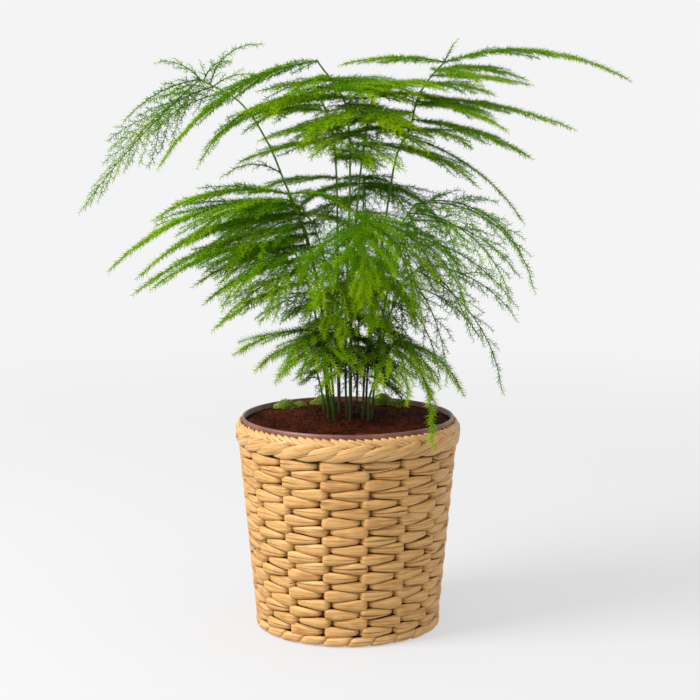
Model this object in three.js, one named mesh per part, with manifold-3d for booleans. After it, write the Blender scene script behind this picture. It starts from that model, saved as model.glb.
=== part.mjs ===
// Potted asparagus fern (Asparagus setaceus) in a woven water hyacinth basket.
// Millimetres, +Z up, origin at the centre of the basket's flat foot, front of the basket at -Y.

import * as THREE from 'three';
import { mergeVertices } from 'three/addons/utils/BufferGeometryUtils.js';
import Module from 'manifold-3d';

const wasm = await Module();
wasm.setup();

// Clearance between two pieces that lie against each other, and the width of slivers closed in joins
const GAP = 0.3;
const JOIN_TOLERANCE = 0.002;

// Basket: 16 stakes, 18 rows of paired weavers between the foot braid and the rolled rim
const STAKES = 16;
const STAKE_FROM_FRONT = 9.7;
const ROWS = 18;
const FOOT_RADIUS = 82.5;
const FOOT_HEIGHT = 9;
const SHOULDER_RADIUS = 96.5;
const WALL = 7;
const WEAVE_RELIEF = 3;
const RIM_RADIUS = 100;
const RIM_BOTTOM = 158.7;
const RIM_WAIST = 178;
const RIM_TOP = 187;
const RIM_INNER_RADIUS = 94.4;
const RIM_STRANDS = 24;
const RIM_RELIEF = 0.75;
const RIM_SLANT = 11;
const FOOT_STRANDS = 20;
const FOOT_RELIEF = 0.6;
const FOOT_SLANT = 7;
const FLOOR_THICKNESS = 6;
const FLOOR_RADIUS = 73.6;
const FOOT_INNER_RADIUS = 74.2;

// Nursery pot that stands in the basket, its lip level with the basket's rim
const POT_FLOOR_RADIUS = 71;
const POT_NECK_RADIUS = 87.5;
const POT_WALL = 2;
const POT_LIP_RADIUS = 94.1;
const POT_LIP_INNER_RADIUS = 91.4;
const POT_LIP_HEIGHT = 7;
const POT_SIDES = 24;

// Soil: level at the pot's wall, mounded towards the crown, with room for stems and moss cushions
const SOIL_EDGE_TOP = 180;
const SOIL_MOUND = 5.5;
const SOIL_RINGS = [81, 66, 50, 34, 18];
const CRUMB_HEIGHT = 0.45;
const SOIL_CLEARANCE = 0.5;
const STEM_CLEARANCE = 0.8;
const MOSS_SINK = 2.6;

// Fern: stems, the slim cores of the sprays, and the spikes (branchlets and needles) along the cores
const STEM_RADIUS = 1.3;
const STEM_TIP_RADIUS = 0.9;
const STEM_STEPS = 8;
const ROOT_DEPTH = 28;
const CORE_RADIUS = 1.15;
const CORE_TIP_RADIUS = 0.8;
const LONG_SPRAY = 90;
const SPIKE_RADIUS = 0.42;
const NEEDLE_LENGTH = 5.5;
const SPIKE_PITCH = 12;
const FROND_CLEARANCE = 0.4;

const HUES = {
  strand: { color: 0xc9a064, roughness: 0.75 },
  rim: { color: 0xd0a76b, roughness: 0.75 },
  pot: { color: 0x6d4a42, roughness: 0.45 },
  soil: { color: 0x3d2117, roughness: 0.95 },
  moss: { color: 0x8a9a35, roughness: 0.95 },
  foliage: { color: 0x4f8f16, roughness: 0.6 },
};

// Each frond has the points that its stem passes through, from just above the soil, and its sprays.
// A spray is [fraction up the stem, heading, rise, droop, reach, spread]: the heading is in degrees
// from +X towards +Y, the rise is the first slope above the level, the droop is how much the slope
// falls by its tip, and the spread is the length of its longest branchlets.
const FRONDS = [
  {
    name: 'frond_left_arch',
    stem: [[-12, 6, 190], [-14, 6, 220], [-26, 8, 300], [-42, 12, 361], [-56, 14, 395],
      [-70, 16, 428], [-94, 18, 463], [-129, 20, 483]],
    sprays: [[1, 180, -40, 14, 154, 46], [1, 178, 52, 56, 40, 14], [0.97, 25, 78, 80, 62, 12],
      [0.96, 200, -14, 40, 92, 34], [0.92, 160, -4, 44, 80, 26], [0.85, 208, -30, 28, 64, 24],
      [0.66, 182, 38, 78, 52, 10]],
  },
  {
    name: 'frond_left_top',
    stem: [[-1, -8, 190], [-2, -8, 230], [0, -8, 330], [2, -10, 400], [1, -14, 440],
      [-3, -18, 465], [-26, -26, 499]],
    sprays: [[1, 187, 0, 62, 166, 40], [0.95, 228, -4, 42, 72, 26], [0.88, 208, 6, 26, 94, 30],
      [0.83, 246, 4, 34, 84, 30], [0.75, 304, 2, 30, 78, 28]],
  },
  {
    name: 'frond_left_middle',
    stem: [[-7, 14, 190], [-8, 15, 240], [-9, 18, 330], [-10, 22, 400], [-14, 26, 440],
      [-24, 30, 468]],
    sprays: [[1, 181, 0, 46, 112, 34], [0.95, 140, 10, 30, 88, 30], [0.9, 100, 6, 30, 90, 30],
      [0.85, 198, 2, 24, 86, 28], [0.8, 64, 6, 30, 86, 28], [0.74, 160, 4, 30, 84, 26]],
  },
  {
    name: 'frond_centre_top',
    stem: [[3, 4, 190], [3, 5, 250], [6, 6, 340], [12, 4, 410], [18, 0, 450], [24, -6, 478]],
    sprays: [[1, 196, 12, 28, 100, 30], [1, 332, 12, 30, 66, 24], [0.96, 174, 4, 18, 104, 30],
      [0.92, 288, 4, 30, 82, 30], [0.89, 72, 6, 28, 90, 30], [0.85, 240, 2, 24, 92, 30],
      [0.82, 350, 0, 22, 74, 26]],
  },
  {
    name: 'frond_right_top',
    stem: [[16, 8, 190], [18, 8, 230], [27, 9, 310], [36, 10, 380], [44, 10, 421], [54, 10, 440],
      [61, 10, 467], [72, 10, 485], [84, 10, 498]],
    sprays: [[1, 184, 12, 26, 88, 24], [1, 358, 18, 46, 162, 28], [1, 20, 66, 10, 18, 4],
      [0.95, 2, 4, 18, 84, 26], [0.92, 322, 6, 24, 68, 24], [0.88, 358, 0, 22, 136, 28],
      [0.86, 40, 6, 26, 92, 28], [0.82, 350, -4, 26, 106, 34], [0.79, 50, 4, 30, 92, 28],
      [0.77, 354, -14, 42, 126, 12], [0.8, 178, 0, 18, 88, 24]],
  },
  {
    name: 'frond_left_low',
    stem: [[-16, -4, 190], [-18, -5, 220], [-24, -6, 290], [-36, -8, 350], [-52, -10, 385]],
    sprays: [[1, 181, 15, 50, 118, 36], [0.95, 192, 8, 52, 170, 40], [0.9, 176, 2, 46, 152, 38],
      [0.84, 190, -2, 36, 156, 36], [0.93, 130, 14, 50, 90, 32]],
  },
  {
    name: 'frond_left_front',
    stem: [[-17, -12, 190], [-19, -14, 215], [-26, -20, 270], [-38, -28, 320], [-50, -34, 345]],
    sprays: [[1, 188, 2, 38, 122, 36], [0.94, 220, 2, 60, 90, 32], [0.88, 180, -5, 36, 88, 30],
      [0.82, 205, -5, 44, 86, 28], [0.76, 184, -10, 32, 88, 26], [0.9, 250, 4, 70, 80, 28]],
  },
  {
    name: 'frond_left_skirt',
    stem: [[-12, -20, 190], [-14, -22, 205], [-20, -28, 245], [-30, -36, 270]],
    sprays: [[1, 190, 2, 34, 66, 26], [0.9, 178, -10, 34, 56, 20], [0.82, 200, -18, 34, 46, 16],
      [0.95, 245, 6, 60, 66, 24], [0.85, 280, 4, 66, 62, 22]],
  },
  {
    name: 'frond_front_centre',
    stem: [[2, -22, 190], [2, -24, 230], [4, -30, 300], [10, -42, 345], [16, -56, 370]],
    sprays: [[1, 268, 6, 96, 112, 36], [0.95, 305, 2, 84, 104, 34], [0.9, 238, 2, 80, 98, 32],
      [0.84, 278, -8, 80, 92, 32], [0.78, 322, -4, 74, 88, 28], [0.72, 255, -8, 74, 80, 26]],
  },
  {
    name: 'frond_right_front',
    stem: [[13, -16, 190], [15, -17, 230], [24, -20, 300], [40, -26, 350], [58, -32, 378]],
    sprays: [[1, 346, 10, 88, 136, 32], [0.95, 330, 2, 74, 126, 30], [0.89, 308, 0, 74, 112, 30],
      [0.84, 354, -5, 50, 122, 28], [0.8, 290, -4, 72, 96, 28]],
  },
  {
    name: 'frond_right_low',
    stem: [[21, -8, 190], [24, -9, 220], [34, -12, 270], [50, -16, 310], [66, -20, 325]],
    sprays: [[1, 352, -4, 50, 92, 26], [0.94, 336, -20, 62, 132, 20], [0.88, 300, -22, 60, 106, 22],
      [0.82, 8, -8, 52, 84, 22], [0.76, 318, -30, 50, 84, 16]],
  },
  {
    name: 'frond_right_back',
    stem: [[22, 6, 190], [25, 8, 230], [36, 16, 300], [52, 28, 350], [66, 38, 375]],
    sprays: [[1, 28, 6, 62, 122, 34], [0.95, 64, 4, 64, 112, 32], [0.9, 6, 2, 58, 112, 30],
      [0.84, 45, -4, 58, 100, 28], [0.78, 80, -4, 60, 92, 28]],
  },
  {
    name: 'frond_back_centre',
    stem: [[8, 20, 190], [9, 24, 240], [12, 34, 320], [14, 50, 370], [14, 66, 395]],
    sprays: [[1, 88, 6, 76, 104, 36], [0.95, 55, 6, 66, 100, 32], [0.9, 122, 4, 66, 104, 32],
      [0.84, 72, -4, 70, 96, 30], [0.78, 105, -4, 66, 96, 28]],
  },
  {
    name: 'frond_back_left',
    stem: [[-8, 24, 190], [-10, 28, 240], [-18, 38, 310], [-30, 52, 350], [-42, 64, 368]],
    sprays: [[1, 142, 6, 62, 116, 34], [0.95, 168, 4, 54, 118, 32], [0.9, 118, 2, 66, 100, 30],
      [0.84, 152, -4, 56, 96, 28], [0.78, 176, -6, 46, 90, 26]],
  },
  {
    name: 'frond_front_low',
    stem: [[18, -22, 190], [19, -23, 208], [30, -34, 240], [40, -44, 260], [46, -50, 264]],
    sprays: [[1, 308, -30, 68, 97, 7], [0.94, 350, -8, 56, 70, 20], [0.88, 285, -6, 70, 62, 20],
      [0.8, 330, -16, 56, 60, 16]],
  },
  {
    name: 'frond_seedling',
    stem: [[-21, 12, 190], [-22, 12, 200], [-27, 12, 224]],
    sprays: [[1, 170, 20, 60, 18, 6], [0.85, 200, 30, 60, 14, 5]],
  },
];

// Each moss cushion has its x, y, half width and height
const MOSS = [[-57, 54, 7.5, 9], [-44, 64, 4.5, 7], [-23, 71, 7, 10], [32, 69, 8, 10], [47, 61, 6, 7]];

const degrees = THREE.MathUtils.degToRad;

// Portable random draws: the same seed gives the same plant everywhere
function draws(seed) {
  let state = seed;
  return () => {
    state = (state * 1664525 + 1013904223) % 4294967296;
    return state / 4294967296;
  };
}

function solidOf(geometry) {
  const bare = geometry.clone();
  bare.deleteAttribute('normal');
  bare.deleteAttribute('uv');
  const merged = mergeVertices(bare, 1e-4);
  return new wasm.Manifold(new wasm.Mesh({
    numProp: 3,
    vertProperties: new Float32Array(merged.attributes.position.array),
    triVerts: new Uint32Array(merged.index.array),
  }));
}

function geometryOf(solid) {
  const mesh = solid.getMesh();
  const geometry = new THREE.BufferGeometry();
  geometry.setAttribute('position', new THREE.BufferAttribute(mesh.vertProperties, 3));
  geometry.setIndex(new THREE.BufferAttribute(mesh.triVerts, 1));
  geometry.computeVertexNormals();
  return geometry;
}

// Moves every vertex of a geometry by a function of its place
function reshape(geometry, move) {
  const places = geometry.attributes.position;
  const spot = new THREE.Vector3();
  for (let i = 0; i < places.count; i += 1) {
    move(spot.fromBufferAttribute(places, i));
    places.setXYZ(i, spot.x, spot.y, spot.z);
  }
  geometry.computeVertexNormals();
  return geometry;
}

// A closed outline of [radius, height] pairs turned round the Z axis
function turned(outline, sides) {
  const points = outline.map(([radius, height]) => new THREE.Vector2(radius, height));
  return new THREE.LatheGeometry(points, sides).rotateX(Math.PI / 2);
}

// Angle round the basket, from the front and growing to the right
function fromFront(spot) {
  return Math.atan2(spot.x, -spot.y);
}

function setRadius(spot, radius, angle) {
  spot.x = radius * Math.sin(angle);
  spot.y = -radius * Math.cos(angle);
}

function wallRadius(height) {
  const share = (height - FOOT_HEIGHT) / (RIM_BOTTOM - FOOT_HEIGHT);
  return FOOT_RADIUS + (SHOULDER_RADIUS - FOOT_RADIUS) * share;
}

// Columns stand on the stakes and between them. Each weaver swells over its stake and dives into a
// hole beside it, to the right of the stake in one row and to the left of it in the next.
function makeBasketWall() {
  const bottom = FOOT_HEIGHT + GAP;
  const top = RIM_BOTTOM - GAP;
  const halfRow = (top - bottom) / ROWS / 2;
  const outline = [];
  for (let half = 0; half <= ROWS * 2; half += 1) {
    const height = bottom + half * halfRow;
    outline.push([wallRadius(height), height]);
  }
  outline.push([wallRadius(top) - WALL, top], [wallRadius(bottom) - WALL, bottom], outline[0]);
  const columns = STAKES * 2;
  const holeShift = (0.3 * Math.PI) / STAKES;
  return reshape(turned(outline, columns), (spot) => {
    const radius = Math.hypot(spot.x, spot.y);
    const column = Math.round((fromFront(spot) * columns) / (2 * Math.PI));
    const angle = (column * 2 * Math.PI) / columns + degrees(STAKE_FROM_FRONT);
    const half = Math.round((spot.z - bottom) / halfRow);
    const outside = radius > wallRadius(spot.z) - WALL / 2;
    if (!outside) {
      setRadius(spot, radius, angle);
    } else if (half % 2 === 0) {
      setRadius(spot, radius - WEAVE_RELIEF, angle);
    } else if (column % 2 === 0) {
      setRadius(spot, radius, angle);
    } else {
      const hand = half % 4 === 1 ? -1 : 1;
      setRadius(spot, radius - WEAVE_RELIEF * 0.9, angle + hand * holeShift);
    }
  });
}

// Slanted strands on a ring: every other column stands proud, and the columns lean with height
function makeBraid(outline, strands, relief, lean, isProud) {
  const columns = strands * 2;
  const innerRadius = outline[0][0];
  return reshape(turned(outline, columns), (spot) => {
    const radius = Math.hypot(spot.x, spot.y);
    const angle = fromFront(spot);
    const column = Math.round((angle * columns) / (2 * Math.PI));
    const proud = isProud(radius, spot.z) ? relief * (column % 2 === 0 ? 1 : -1) : 0;
    const shift = radius > innerRadius + 1 ? lean(spot.z) : 0;
    setRadius(spot, radius + proud, angle + shift);
  });
}

// Rolled border: a wide lower band that leans right going up, and a narrow upper one that leans back
function makeBasketRim() {
  const outline = [
    [RIM_INNER_RADIUS, RIM_BOTTOM], [97.3, RIM_BOTTOM], [RIM_RADIUS - 0.8, 163],
    [RIM_RADIUS - 0.6, 171], [RIM_RADIUS - 2.2, RIM_WAIST], [RIM_RADIUS - 1.4, 182],
    [RIM_RADIUS - 3.2, RIM_TOP], [RIM_INNER_RADIUS, RIM_TOP - 0.8], [RIM_INNER_RADIUS, RIM_BOTTOM],
  ];
  const lean = (height) => {
    const rise = (Math.min(height, RIM_WAIST) - RIM_BOTTOM) / (RIM_WAIST - RIM_BOTTOM);
    const back = Math.max(0, height - RIM_WAIST) / (RIM_TOP - RIM_WAIST);
    return degrees(RIM_SLANT) * (rise - 0.7 * back);
  };
  const isProud = (radius, height) => radius > RIM_INNER_RADIUS + 1 && height > RIM_BOTTOM + 1;
  return makeBraid(outline, RIM_STRANDS, RIM_RELIEF, lean, isProud);
}

function makeFootBraid() {
  const outline = [
    [FOOT_INNER_RADIUS, 0], [FOOT_RADIUS - 2.5, 0], [FOOT_RADIUS - 0.2, 3], [FOOT_RADIUS - 0.2, 6],
    [FOOT_RADIUS - 2, FOOT_HEIGHT], [FOOT_INNER_RADIUS, FOOT_HEIGHT], [FOOT_INNER_RADIUS, 0],
  ];
  const lean = (height) => degrees(FOOT_SLANT) * (height / FOOT_HEIGHT);
  const isProud = (radius, height) => radius > FOOT_RADIUS - 1 && height > 1;
  return makeBraid(outline, FOOT_STRANDS, FOOT_RELIEF, lean, isProud);
}

// Flat floor of the basket, with the rings of its weave on the underside
function makeBasketFloor() {
  const rings = 3;
  const flat = 14;
  const ringWidth = (FLOOR_RADIUS - flat) / rings;
  const outline = [[0, 0], [flat, 0]];
  for (let ring = 0; ring < rings; ring += 1) {
    const inner = flat + ring * ringWidth;
    outline.push([inner + ringWidth * 0.2, 1.2], [inner + ringWidth * 0.6, 0]);
  }
  outline.push([FLOOR_RADIUS, 1.2], [FLOOR_RADIUS, FLOOR_THICKNESS], [0, FLOOR_THICKNESS]);
  return turned(outline, POT_SIDES);
}

// Inner radius of the pot's wall at a height
function potBore(height) {
  const floor = FLOOR_THICKNESS + GAP;
  const share = (height - floor) / (RIM_TOP - POT_LIP_HEIGHT - floor);
  return POT_FLOOR_RADIUS + (POT_NECK_RADIUS - POT_FLOOR_RADIUS) * share - POT_WALL;
}

function makePot() {
  const floor = FLOOR_THICKNESS + GAP;
  const lipBottom = RIM_TOP - POT_LIP_HEIGHT;
  return turned([
    [0, floor], [POT_FLOOR_RADIUS, floor], [POT_NECK_RADIUS, lipBottom], [POT_LIP_RADIUS, lipBottom],
    [POT_LIP_RADIUS, RIM_TOP], [POT_LIP_INNER_RADIUS, RIM_TOP],
    [POT_LIP_INNER_RADIUS, lipBottom + 3], [potBore(lipBottom - 2), lipBottom - 2],
    [potBore(floor + POT_WALL), floor + POT_WALL], [0, floor + POT_WALL],
  ], POT_SIDES);
}

function soilTop(radius) {
  const share = radius / POT_NECK_RADIUS;
  return SOIL_EDGE_TOP + SOIL_MOUND * (1 - share * share);
}

// Crumbly surface: three waves that don't repeat within the pot
function crumbs(x, y) {
  return Math.sin(x * 0.31 + y * 0.13) + Math.sin(y * 0.37 - x * 0.17) + Math.sin((x + y) * 0.71);
}

// Foot of a moss cushion's seat in the soil
function mossSeat(x, y) {
  return soilTop(Math.hypot(x, y)) - MOSS_SINK;
}

function makeSoil() {
  const floor = FLOOR_THICKNESS + GAP + POT_WALL + GAP;
  const neck = RIM_TOP - POT_LIP_HEIGHT - 2;
  const outline = [
    [0, floor], [potBore(floor) - SOIL_CLEARANCE, floor], [potBore(neck) - SOIL_CLEARANCE, neck],
  ];
  for (const radius of SOIL_RINGS) {
    outline.push([radius, soilTop(radius)]);
  }
  outline.push([0, soilTop(0)]);
  const heap = reshape(turned(outline, POT_SIDES), (spot) => {
    spot.z += spot.z > neck + 1 ? CRUMB_HEIGHT * crumbs(spot.x, spot.y) : 0;
  });
  let soil = solidOf(heap);
  const holeRadius = STEM_RADIUS + STEM_CLEARANCE;
  for (const { stem: [[x, y, collar]] } of FRONDS) {
    const hole = new THREE.CylinderGeometry(holeRadius, holeRadius, ROOT_DEPTH * 2, 5);
    hole.rotateX(Math.PI / 2).translate(x, y, collar - GAP);
    soil = soil.subtract(solidOf(hole));
  }
  for (const [x, y, half] of MOSS) {
    const seat = new THREE.CylinderGeometry(half + SOIL_CLEARANCE, half + SOIL_CLEARANCE, 20, 8);
    seat.rotateX(Math.PI / 2).translate(x, y, mossSeat(x, y) + 10);
    soil = soil.subtract(solidOf(seat));
  }
  return geometryOf(soil.asOriginal().simplify(JOIN_TOLERANCE));
}

// Bumpy cushion with a flat underside that lies in its seat
function makeMossCushion([x, y, half, height]) {
  const cushion = new THREE.IcosahedronGeometry(1, 1);
  return reshape(cushion, (spot) => {
    const bump = 1 + 0.09 * Math.sin(spot.x * 9 + x) * Math.cos(spot.y * 8 + y);
    const across = (half - 0.6) * bump;
    const up = spot.z > 0.01 ? spot.z * height * bump : 0;
    spot.set(x + spot.x * across, y + spot.y * across, mossSeat(x, y) + GAP + up);
  });
}

// A straight three-sided rod with a ridge on top; with no tip radius it is a spike
function makeRod({ from, to, radius, tipRadius = 0 }) {
  const way = new THREE.Vector3().subVectors(to, from);
  const length = way.length();
  way.normalize();
  const side = new THREE.Vector3(way.y, -way.x, 0).normalize();
  const over = new THREE.Vector3().crossVectors(side, way);
  const middle = new THREE.Vector3().addVectors(from, to).multiplyScalar(0.5);
  const rod = new THREE.CylinderGeometry(tipRadius, radius, length, 3);
  return rod.applyMatrix4(new THREE.Matrix4().makeBasis(side, way, over).setPosition(middle));
}

// The stem: a tapered four-sided rod that stands in its hole and then bends along its line
function makeStem(line) {
  const rod = new THREE.CylinderGeometry(1, 1, 1, 4, STEM_STEPS + 1);
  const frames = line.computeFrenetFrames(STEM_STEPS);
  return reshape(rod, (spot) => {
    const ring = Math.round((spot.y + 0.5) * (STEM_STEPS + 1));
    const step = Math.max(0, ring - 1);
    const share = step / STEM_STEPS;
    const radius = STEM_RADIUS + (STEM_TIP_RADIUS - STEM_RADIUS) * share;
    const place = line.getPointAt(share);
    place.z -= ring === 0 ? ROOT_DEPTH : 0;
    place.addScaledVector(frames.normals[step], -spot.x * radius);
    place.addScaledVector(frames.binormals[step], spot.z * radius);
    spot.copy(place);
  });
}

// The slim core of a spray: a three-sided rod with a ridge on top, bent at its knots. Its flanks stay
// flat between knots because all its rings are square to the straight line from root to tip.
function makeCore(knots) {
  const steps = knots.length - 1;
  const way = new THREE.Vector3().subVectors(knots[steps], knots[0]).normalize();
  const side = new THREE.Vector3(way.y, -way.x, 0).normalize();
  const over = new THREE.Vector3().crossVectors(side, way);
  const rod = new THREE.CylinderGeometry(1, 1, 1, 3, steps);
  return reshape(rod, (spot) => {
    const step = Math.round((spot.y + 0.5) * steps);
    const radius = CORE_RADIUS + (CORE_TIP_RADIUS - CORE_RADIUS) * (step / steps);
    const across = spot.x * radius;
    const up = spot.z * radius;
    spot.copy(knots[step]).addScaledVector(side, across).addScaledVector(over, up);
  });
}

// A place on the straight stretches between knots
function alongKnots(knots, share) {
  const place = share * (knots.length - 1);
  const k = THREE.MathUtils.clamp(Math.floor(place), 0, knots.length - 2);
  return knots[k].clone().lerp(knots[k + 1], place - k);
}

function heading(azimuth, slope) {
  const level = Math.cos(degrees(slope));
  return new THREE.Vector3(
    level * Math.cos(degrees(azimuth)), level * Math.sin(degrees(azimuth)), Math.sin(degrees(slope)));
}

// The line of a spray's core: its slope falls evenly from the rise by the droop
function sprayLine(start, azimuth, rise, droop, reach) {
  const steps = 8;
  const points = [start.clone()];
  for (let i = 0; i < steps; i += 1) {
    const slope = rise - (droop * (i + 0.5)) / steps;
    points.push(points[i].clone().addScaledVector(heading(azimuth, slope), reach / steps));
  }
  return new THREE.CatmullRomCurve3(points, false, 'centripetal');
}

// Branchlets are longest a quarter of the way along and shorten evenly to the tip
function branchletShare(share) {
  return share < 0.25 ? 0.55 + 1.8 * share : 1 - 0.86 * ((share - 0.25) / 0.75);
}

// Every rod of a frond, each with the rod that carries it: stem, cores, branchlets and needles
function layOutFrond({ stem, sprays }, seed) {
  const draw = draws(seed);
  const stemLine = new THREE.CatmullRomCurve3(
    stem.map((point) => new THREE.Vector3(...point)), false, 'centripetal');
  const stemKnots = stemLine.getSpacedPoints(STEM_STEPS);
  const cores = [];
  const spikes = [];
  for (const [share, azimuth, rise, droop, reach, spread] of sprays) {
    const start = alongKnots(stemKnots, share);
    const line = sprayLine(start, azimuth, rise, droop, reach);
    const side = heading(azimuth + 90, 0);
    const knots = line.getSpacedPoints(reach > LONG_SPRAY ? 4 : 3);
    cores.push(knots);
    const over = new THREE.Vector3(0, 0, 1);
    const count = Math.max(3, Math.round(reach / SPIKE_PITCH));
    for (let i = 0; i < count; i += 1) {
      const along = 0.08 + (0.9 * (i + 0.3 + 0.4 * draw())) / count;
      const root = alongKnots(knots, along);
      const lean = degrees(58 - 20 * along + 8 * (draw() - 0.5));
      const out = line.getTangentAt(along).multiplyScalar(Math.cos(lean));
      let length = NEEDLE_LENGTH;
      if (i % 3 < 2) {
        out.addScaledVector(side, (i % 2 ? -1 : 1) * Math.sin(lean));
        out.addScaledVector(over, -0.12 * draw());
        length = Math.max(length, spread * branchletShare(along) * (0.85 + 0.3 * draw()));
      } else {
        out.addScaledVector(over, (i % 2 ? 1 : -1) * Math.sin(lean));
      }
      const to = root.clone().addScaledVector(out.normalize(), length);
      spikes.push({ from: root, to, radius: SPIKE_RADIUS });
    }
  }
  return { stemLine, cores, spikes };
}

// Shortest distance between two straight stretches
function stretchDistance(a, b) {
  const u = new THREE.Vector3().subVectors(a.to, a.from);
  const v = new THREE.Vector3().subVectors(b.to, b.from);
  const w = new THREE.Vector3().subVectors(a.from, b.from);
  const uu = u.dot(u);
  const uv = u.dot(v);
  const vv = v.dot(v);
  const uw = u.dot(w);
  const vw = v.dot(w);
  const spare = uu * vv - uv * uv;
  let s = spare > 1e-9 ? THREE.MathUtils.clamp((uv * vw - vv * uw) / spare, 0, 1) : 0;
  const t = THREE.MathUtils.clamp((uv * s + vw) / vv, 0, 1);
  s = THREE.MathUtils.clamp((uv * t - uw) / uu, 0, 1);
  const onA = a.from.clone().addScaledVector(u, s);
  return onA.distanceTo(b.from.clone().addScaledVector(v, t));
}

// The straight stretches between points, for the clearance test
function stretchesOf(points, radius) {
  return points.slice(1).map((to, i) => ({ from: points[i], to, radius }));
}

function isClear(rod, placed) {
  return placed.every((other) =>
    stretchDistance(rod, other) > rod.radius + other.radius + FROND_CLEARANCE);
}

// Branchlets and needles that would touch another frond, the pot or the basket are left out
function clearOfOthers(spikes, placed) {
  const kept = [];
  for (const spike of spikes) {
    const low = Math.min(spike.from.z, spike.to.z);
    const nearPot = low < RIM_TOP + 1 && Math.hypot(spike.to.x, spike.to.y) < RIM_RADIUS + 2;
    if (!nearPot && isClear(spike, placed)) {
      kept.push(spike);
    }
  }
  return kept;
}

function makeFrond({ stemLine, cores }, kept) {
  const rods = [makeStem(stemLine), ...cores.map(makeCore), ...kept.map(makeRod)];
  return geometryOf(wasm.Manifold.union(rods.map(solidOf)).asOriginal().simplify(JOIN_TOLERANCE));
}

// The plant, frond by frond: all stems and cores are laid out first, so that spikes clear them all
function makeFronds() {
  const plans = FRONDS.map((frond, i) => layOutFrond(frond, 11 + i));
  const spines = plans.map(({ stemLine, cores }) => [
    ...stretchesOf(stemLine.getSpacedPoints(STEM_STEPS), STEM_RADIUS),
    ...cores.flatMap((knots) => stretchesOf(knots, CORE_RADIUS)),
  ]);
  const laid = [];
  return plans.map((plan, i) => {
    const others = spines.filter((stretches, j) => j !== i).flat();
    const kept = clearOfOthers(plan.spikes, [...others, ...laid]);
    laid.push(...kept);
    return [FRONDS[i].name, makeFrond(plan, kept)];
  });
}

const group = new THREE.Group();

function addPiece(name, geometry, hue) {
  const mesh = new THREE.Mesh(geometry, new THREE.MeshStandardMaterial({ metalness: 0, ...hue }));
  mesh.name = name;
  group.add(mesh);
}

addPiece('basket_floor', makeBasketFloor(), HUES.strand);
addPiece('foot_braid', makeFootBraid(), HUES.rim);
addPiece('basket_wall', makeBasketWall(), HUES.strand);
addPiece('basket_rim', makeBasketRim(), HUES.rim);
addPiece('inner_pot', makePot(), HUES.pot);
addPiece('soil', makeSoil(), HUES.soil);
MOSS.forEach((cushion, i) => addPiece(`moss_${i + 1}`, makeMossCushion(cushion), HUES.moss));
makeFronds().forEach(([name, geometry]) => addPiece(name, geometry, HUES.foliage));

export default group;
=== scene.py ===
# Potted asparagus fern in a woven water hyacinth basket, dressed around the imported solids.
# Metres, +Z up, origin at the centre of the basket's foot, front of the basket at -Y.

import math

import bpy
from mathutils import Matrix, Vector, noise


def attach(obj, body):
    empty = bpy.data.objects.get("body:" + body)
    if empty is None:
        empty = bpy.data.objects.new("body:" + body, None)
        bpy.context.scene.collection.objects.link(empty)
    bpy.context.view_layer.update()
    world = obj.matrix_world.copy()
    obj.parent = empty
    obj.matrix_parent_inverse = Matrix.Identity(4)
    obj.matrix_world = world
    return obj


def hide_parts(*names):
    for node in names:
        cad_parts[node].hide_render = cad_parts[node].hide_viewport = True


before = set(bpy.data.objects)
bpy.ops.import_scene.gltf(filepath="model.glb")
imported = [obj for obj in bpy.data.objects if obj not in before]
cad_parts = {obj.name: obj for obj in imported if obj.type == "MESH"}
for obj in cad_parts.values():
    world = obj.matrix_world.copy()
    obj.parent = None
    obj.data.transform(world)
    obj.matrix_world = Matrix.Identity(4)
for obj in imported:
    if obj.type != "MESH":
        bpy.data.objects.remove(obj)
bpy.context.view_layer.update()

MM = 0.001
TURN = 2 * math.pi

# Basket, in metres. Its border starts higher than on the solid, with room for one row more.
STAKES = 16
ROWS = 19
FOOT_RADIUS = 82.5 * MM
FOOT_HEIGHT = 9 * MM
SHOULDER_RADIUS = 96.5 * MM
RIM_BOTTOM = 165.6 * MM
SHOULDER_HEIGHT = 158.7 * MM
WALL_THICKNESS = 7 * MM
STAKE_FROM_FRONT = math.radians(9.7)
FLOOR_RADIUS = 73.6 * MM
FLOOR_TOP = 6 * MM

# Pot and soil
POT_FLOOR = 6.3 * MM
POT_FLOOR_RADIUS = 71 * MM
POT_NECK_RADIUS = 87.5 * MM
POT_WALL = 2 * MM
POT_LIP_RADIUS = 94.1 * MM
POT_LIP_INNER_RADIUS = 91.4 * MM
POT_LIP_BOTTOM = 180 * MM
POT_LIP_TOP = 188.8 * MM
SOIL_EDGE_TOP = 184.4 * MM
SOIL_MOUND = 3.2 * MM
SOIL_RADIUS = 90.9 * MM
SOIL_BOTTOM = 9 * MM
SOIL_FOOT_RADIUS = 68 * MM
SOIL_NECK = (84.7 * MM, 178 * MM)

# Moss cushions along the back edge, in millimetres: x, y, half width, height
MOSS = [(-57, 54, 7.5, 9), (-44, 64, 4.5, 7), (-23, 71, 7, 10), (32, 69, 8, 10), (47, 61, 6, 7)]

# Fern: stems, spray cores and needles
STEM_RADIUS = 1.05 * MM
STEM_TIP_RADIUS = 0.75 * MM
ROOT_DEPTH = 28 * MM
SPRAY_RADIUS = 0.62 * MM
SPRAY_TIP_RADIUS = 0.3 * MM
SPRAY_STEPS = 8
SHORTEST_TWIG = 3 * MM
NEEDLE_RADIUS = 0.36 * MM
BRANCHLET_RADIUS = 0.28 * MM
TWIG_RADIUS = 0.22 * MM

# The turn from one needle to the next round its twig, and the middle and size of the painted shade laid
# on the needles in the plant's heart over the crown
GOLDEN_ANGLE = 2.39996
SHADOW_MIDDLE = (0.014, 0.004, 0.265)
SHADOW_SIZE = (0.078, 0.066, 0.125)

# Camera: at the photograph's height and distance, looking down a little
CAMERA_PLACE = Vector((2, -1590, 489)) * MM
CAMERA_PITCH = math.radians(8.66)
CAMERA_LENS = 93.7

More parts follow.
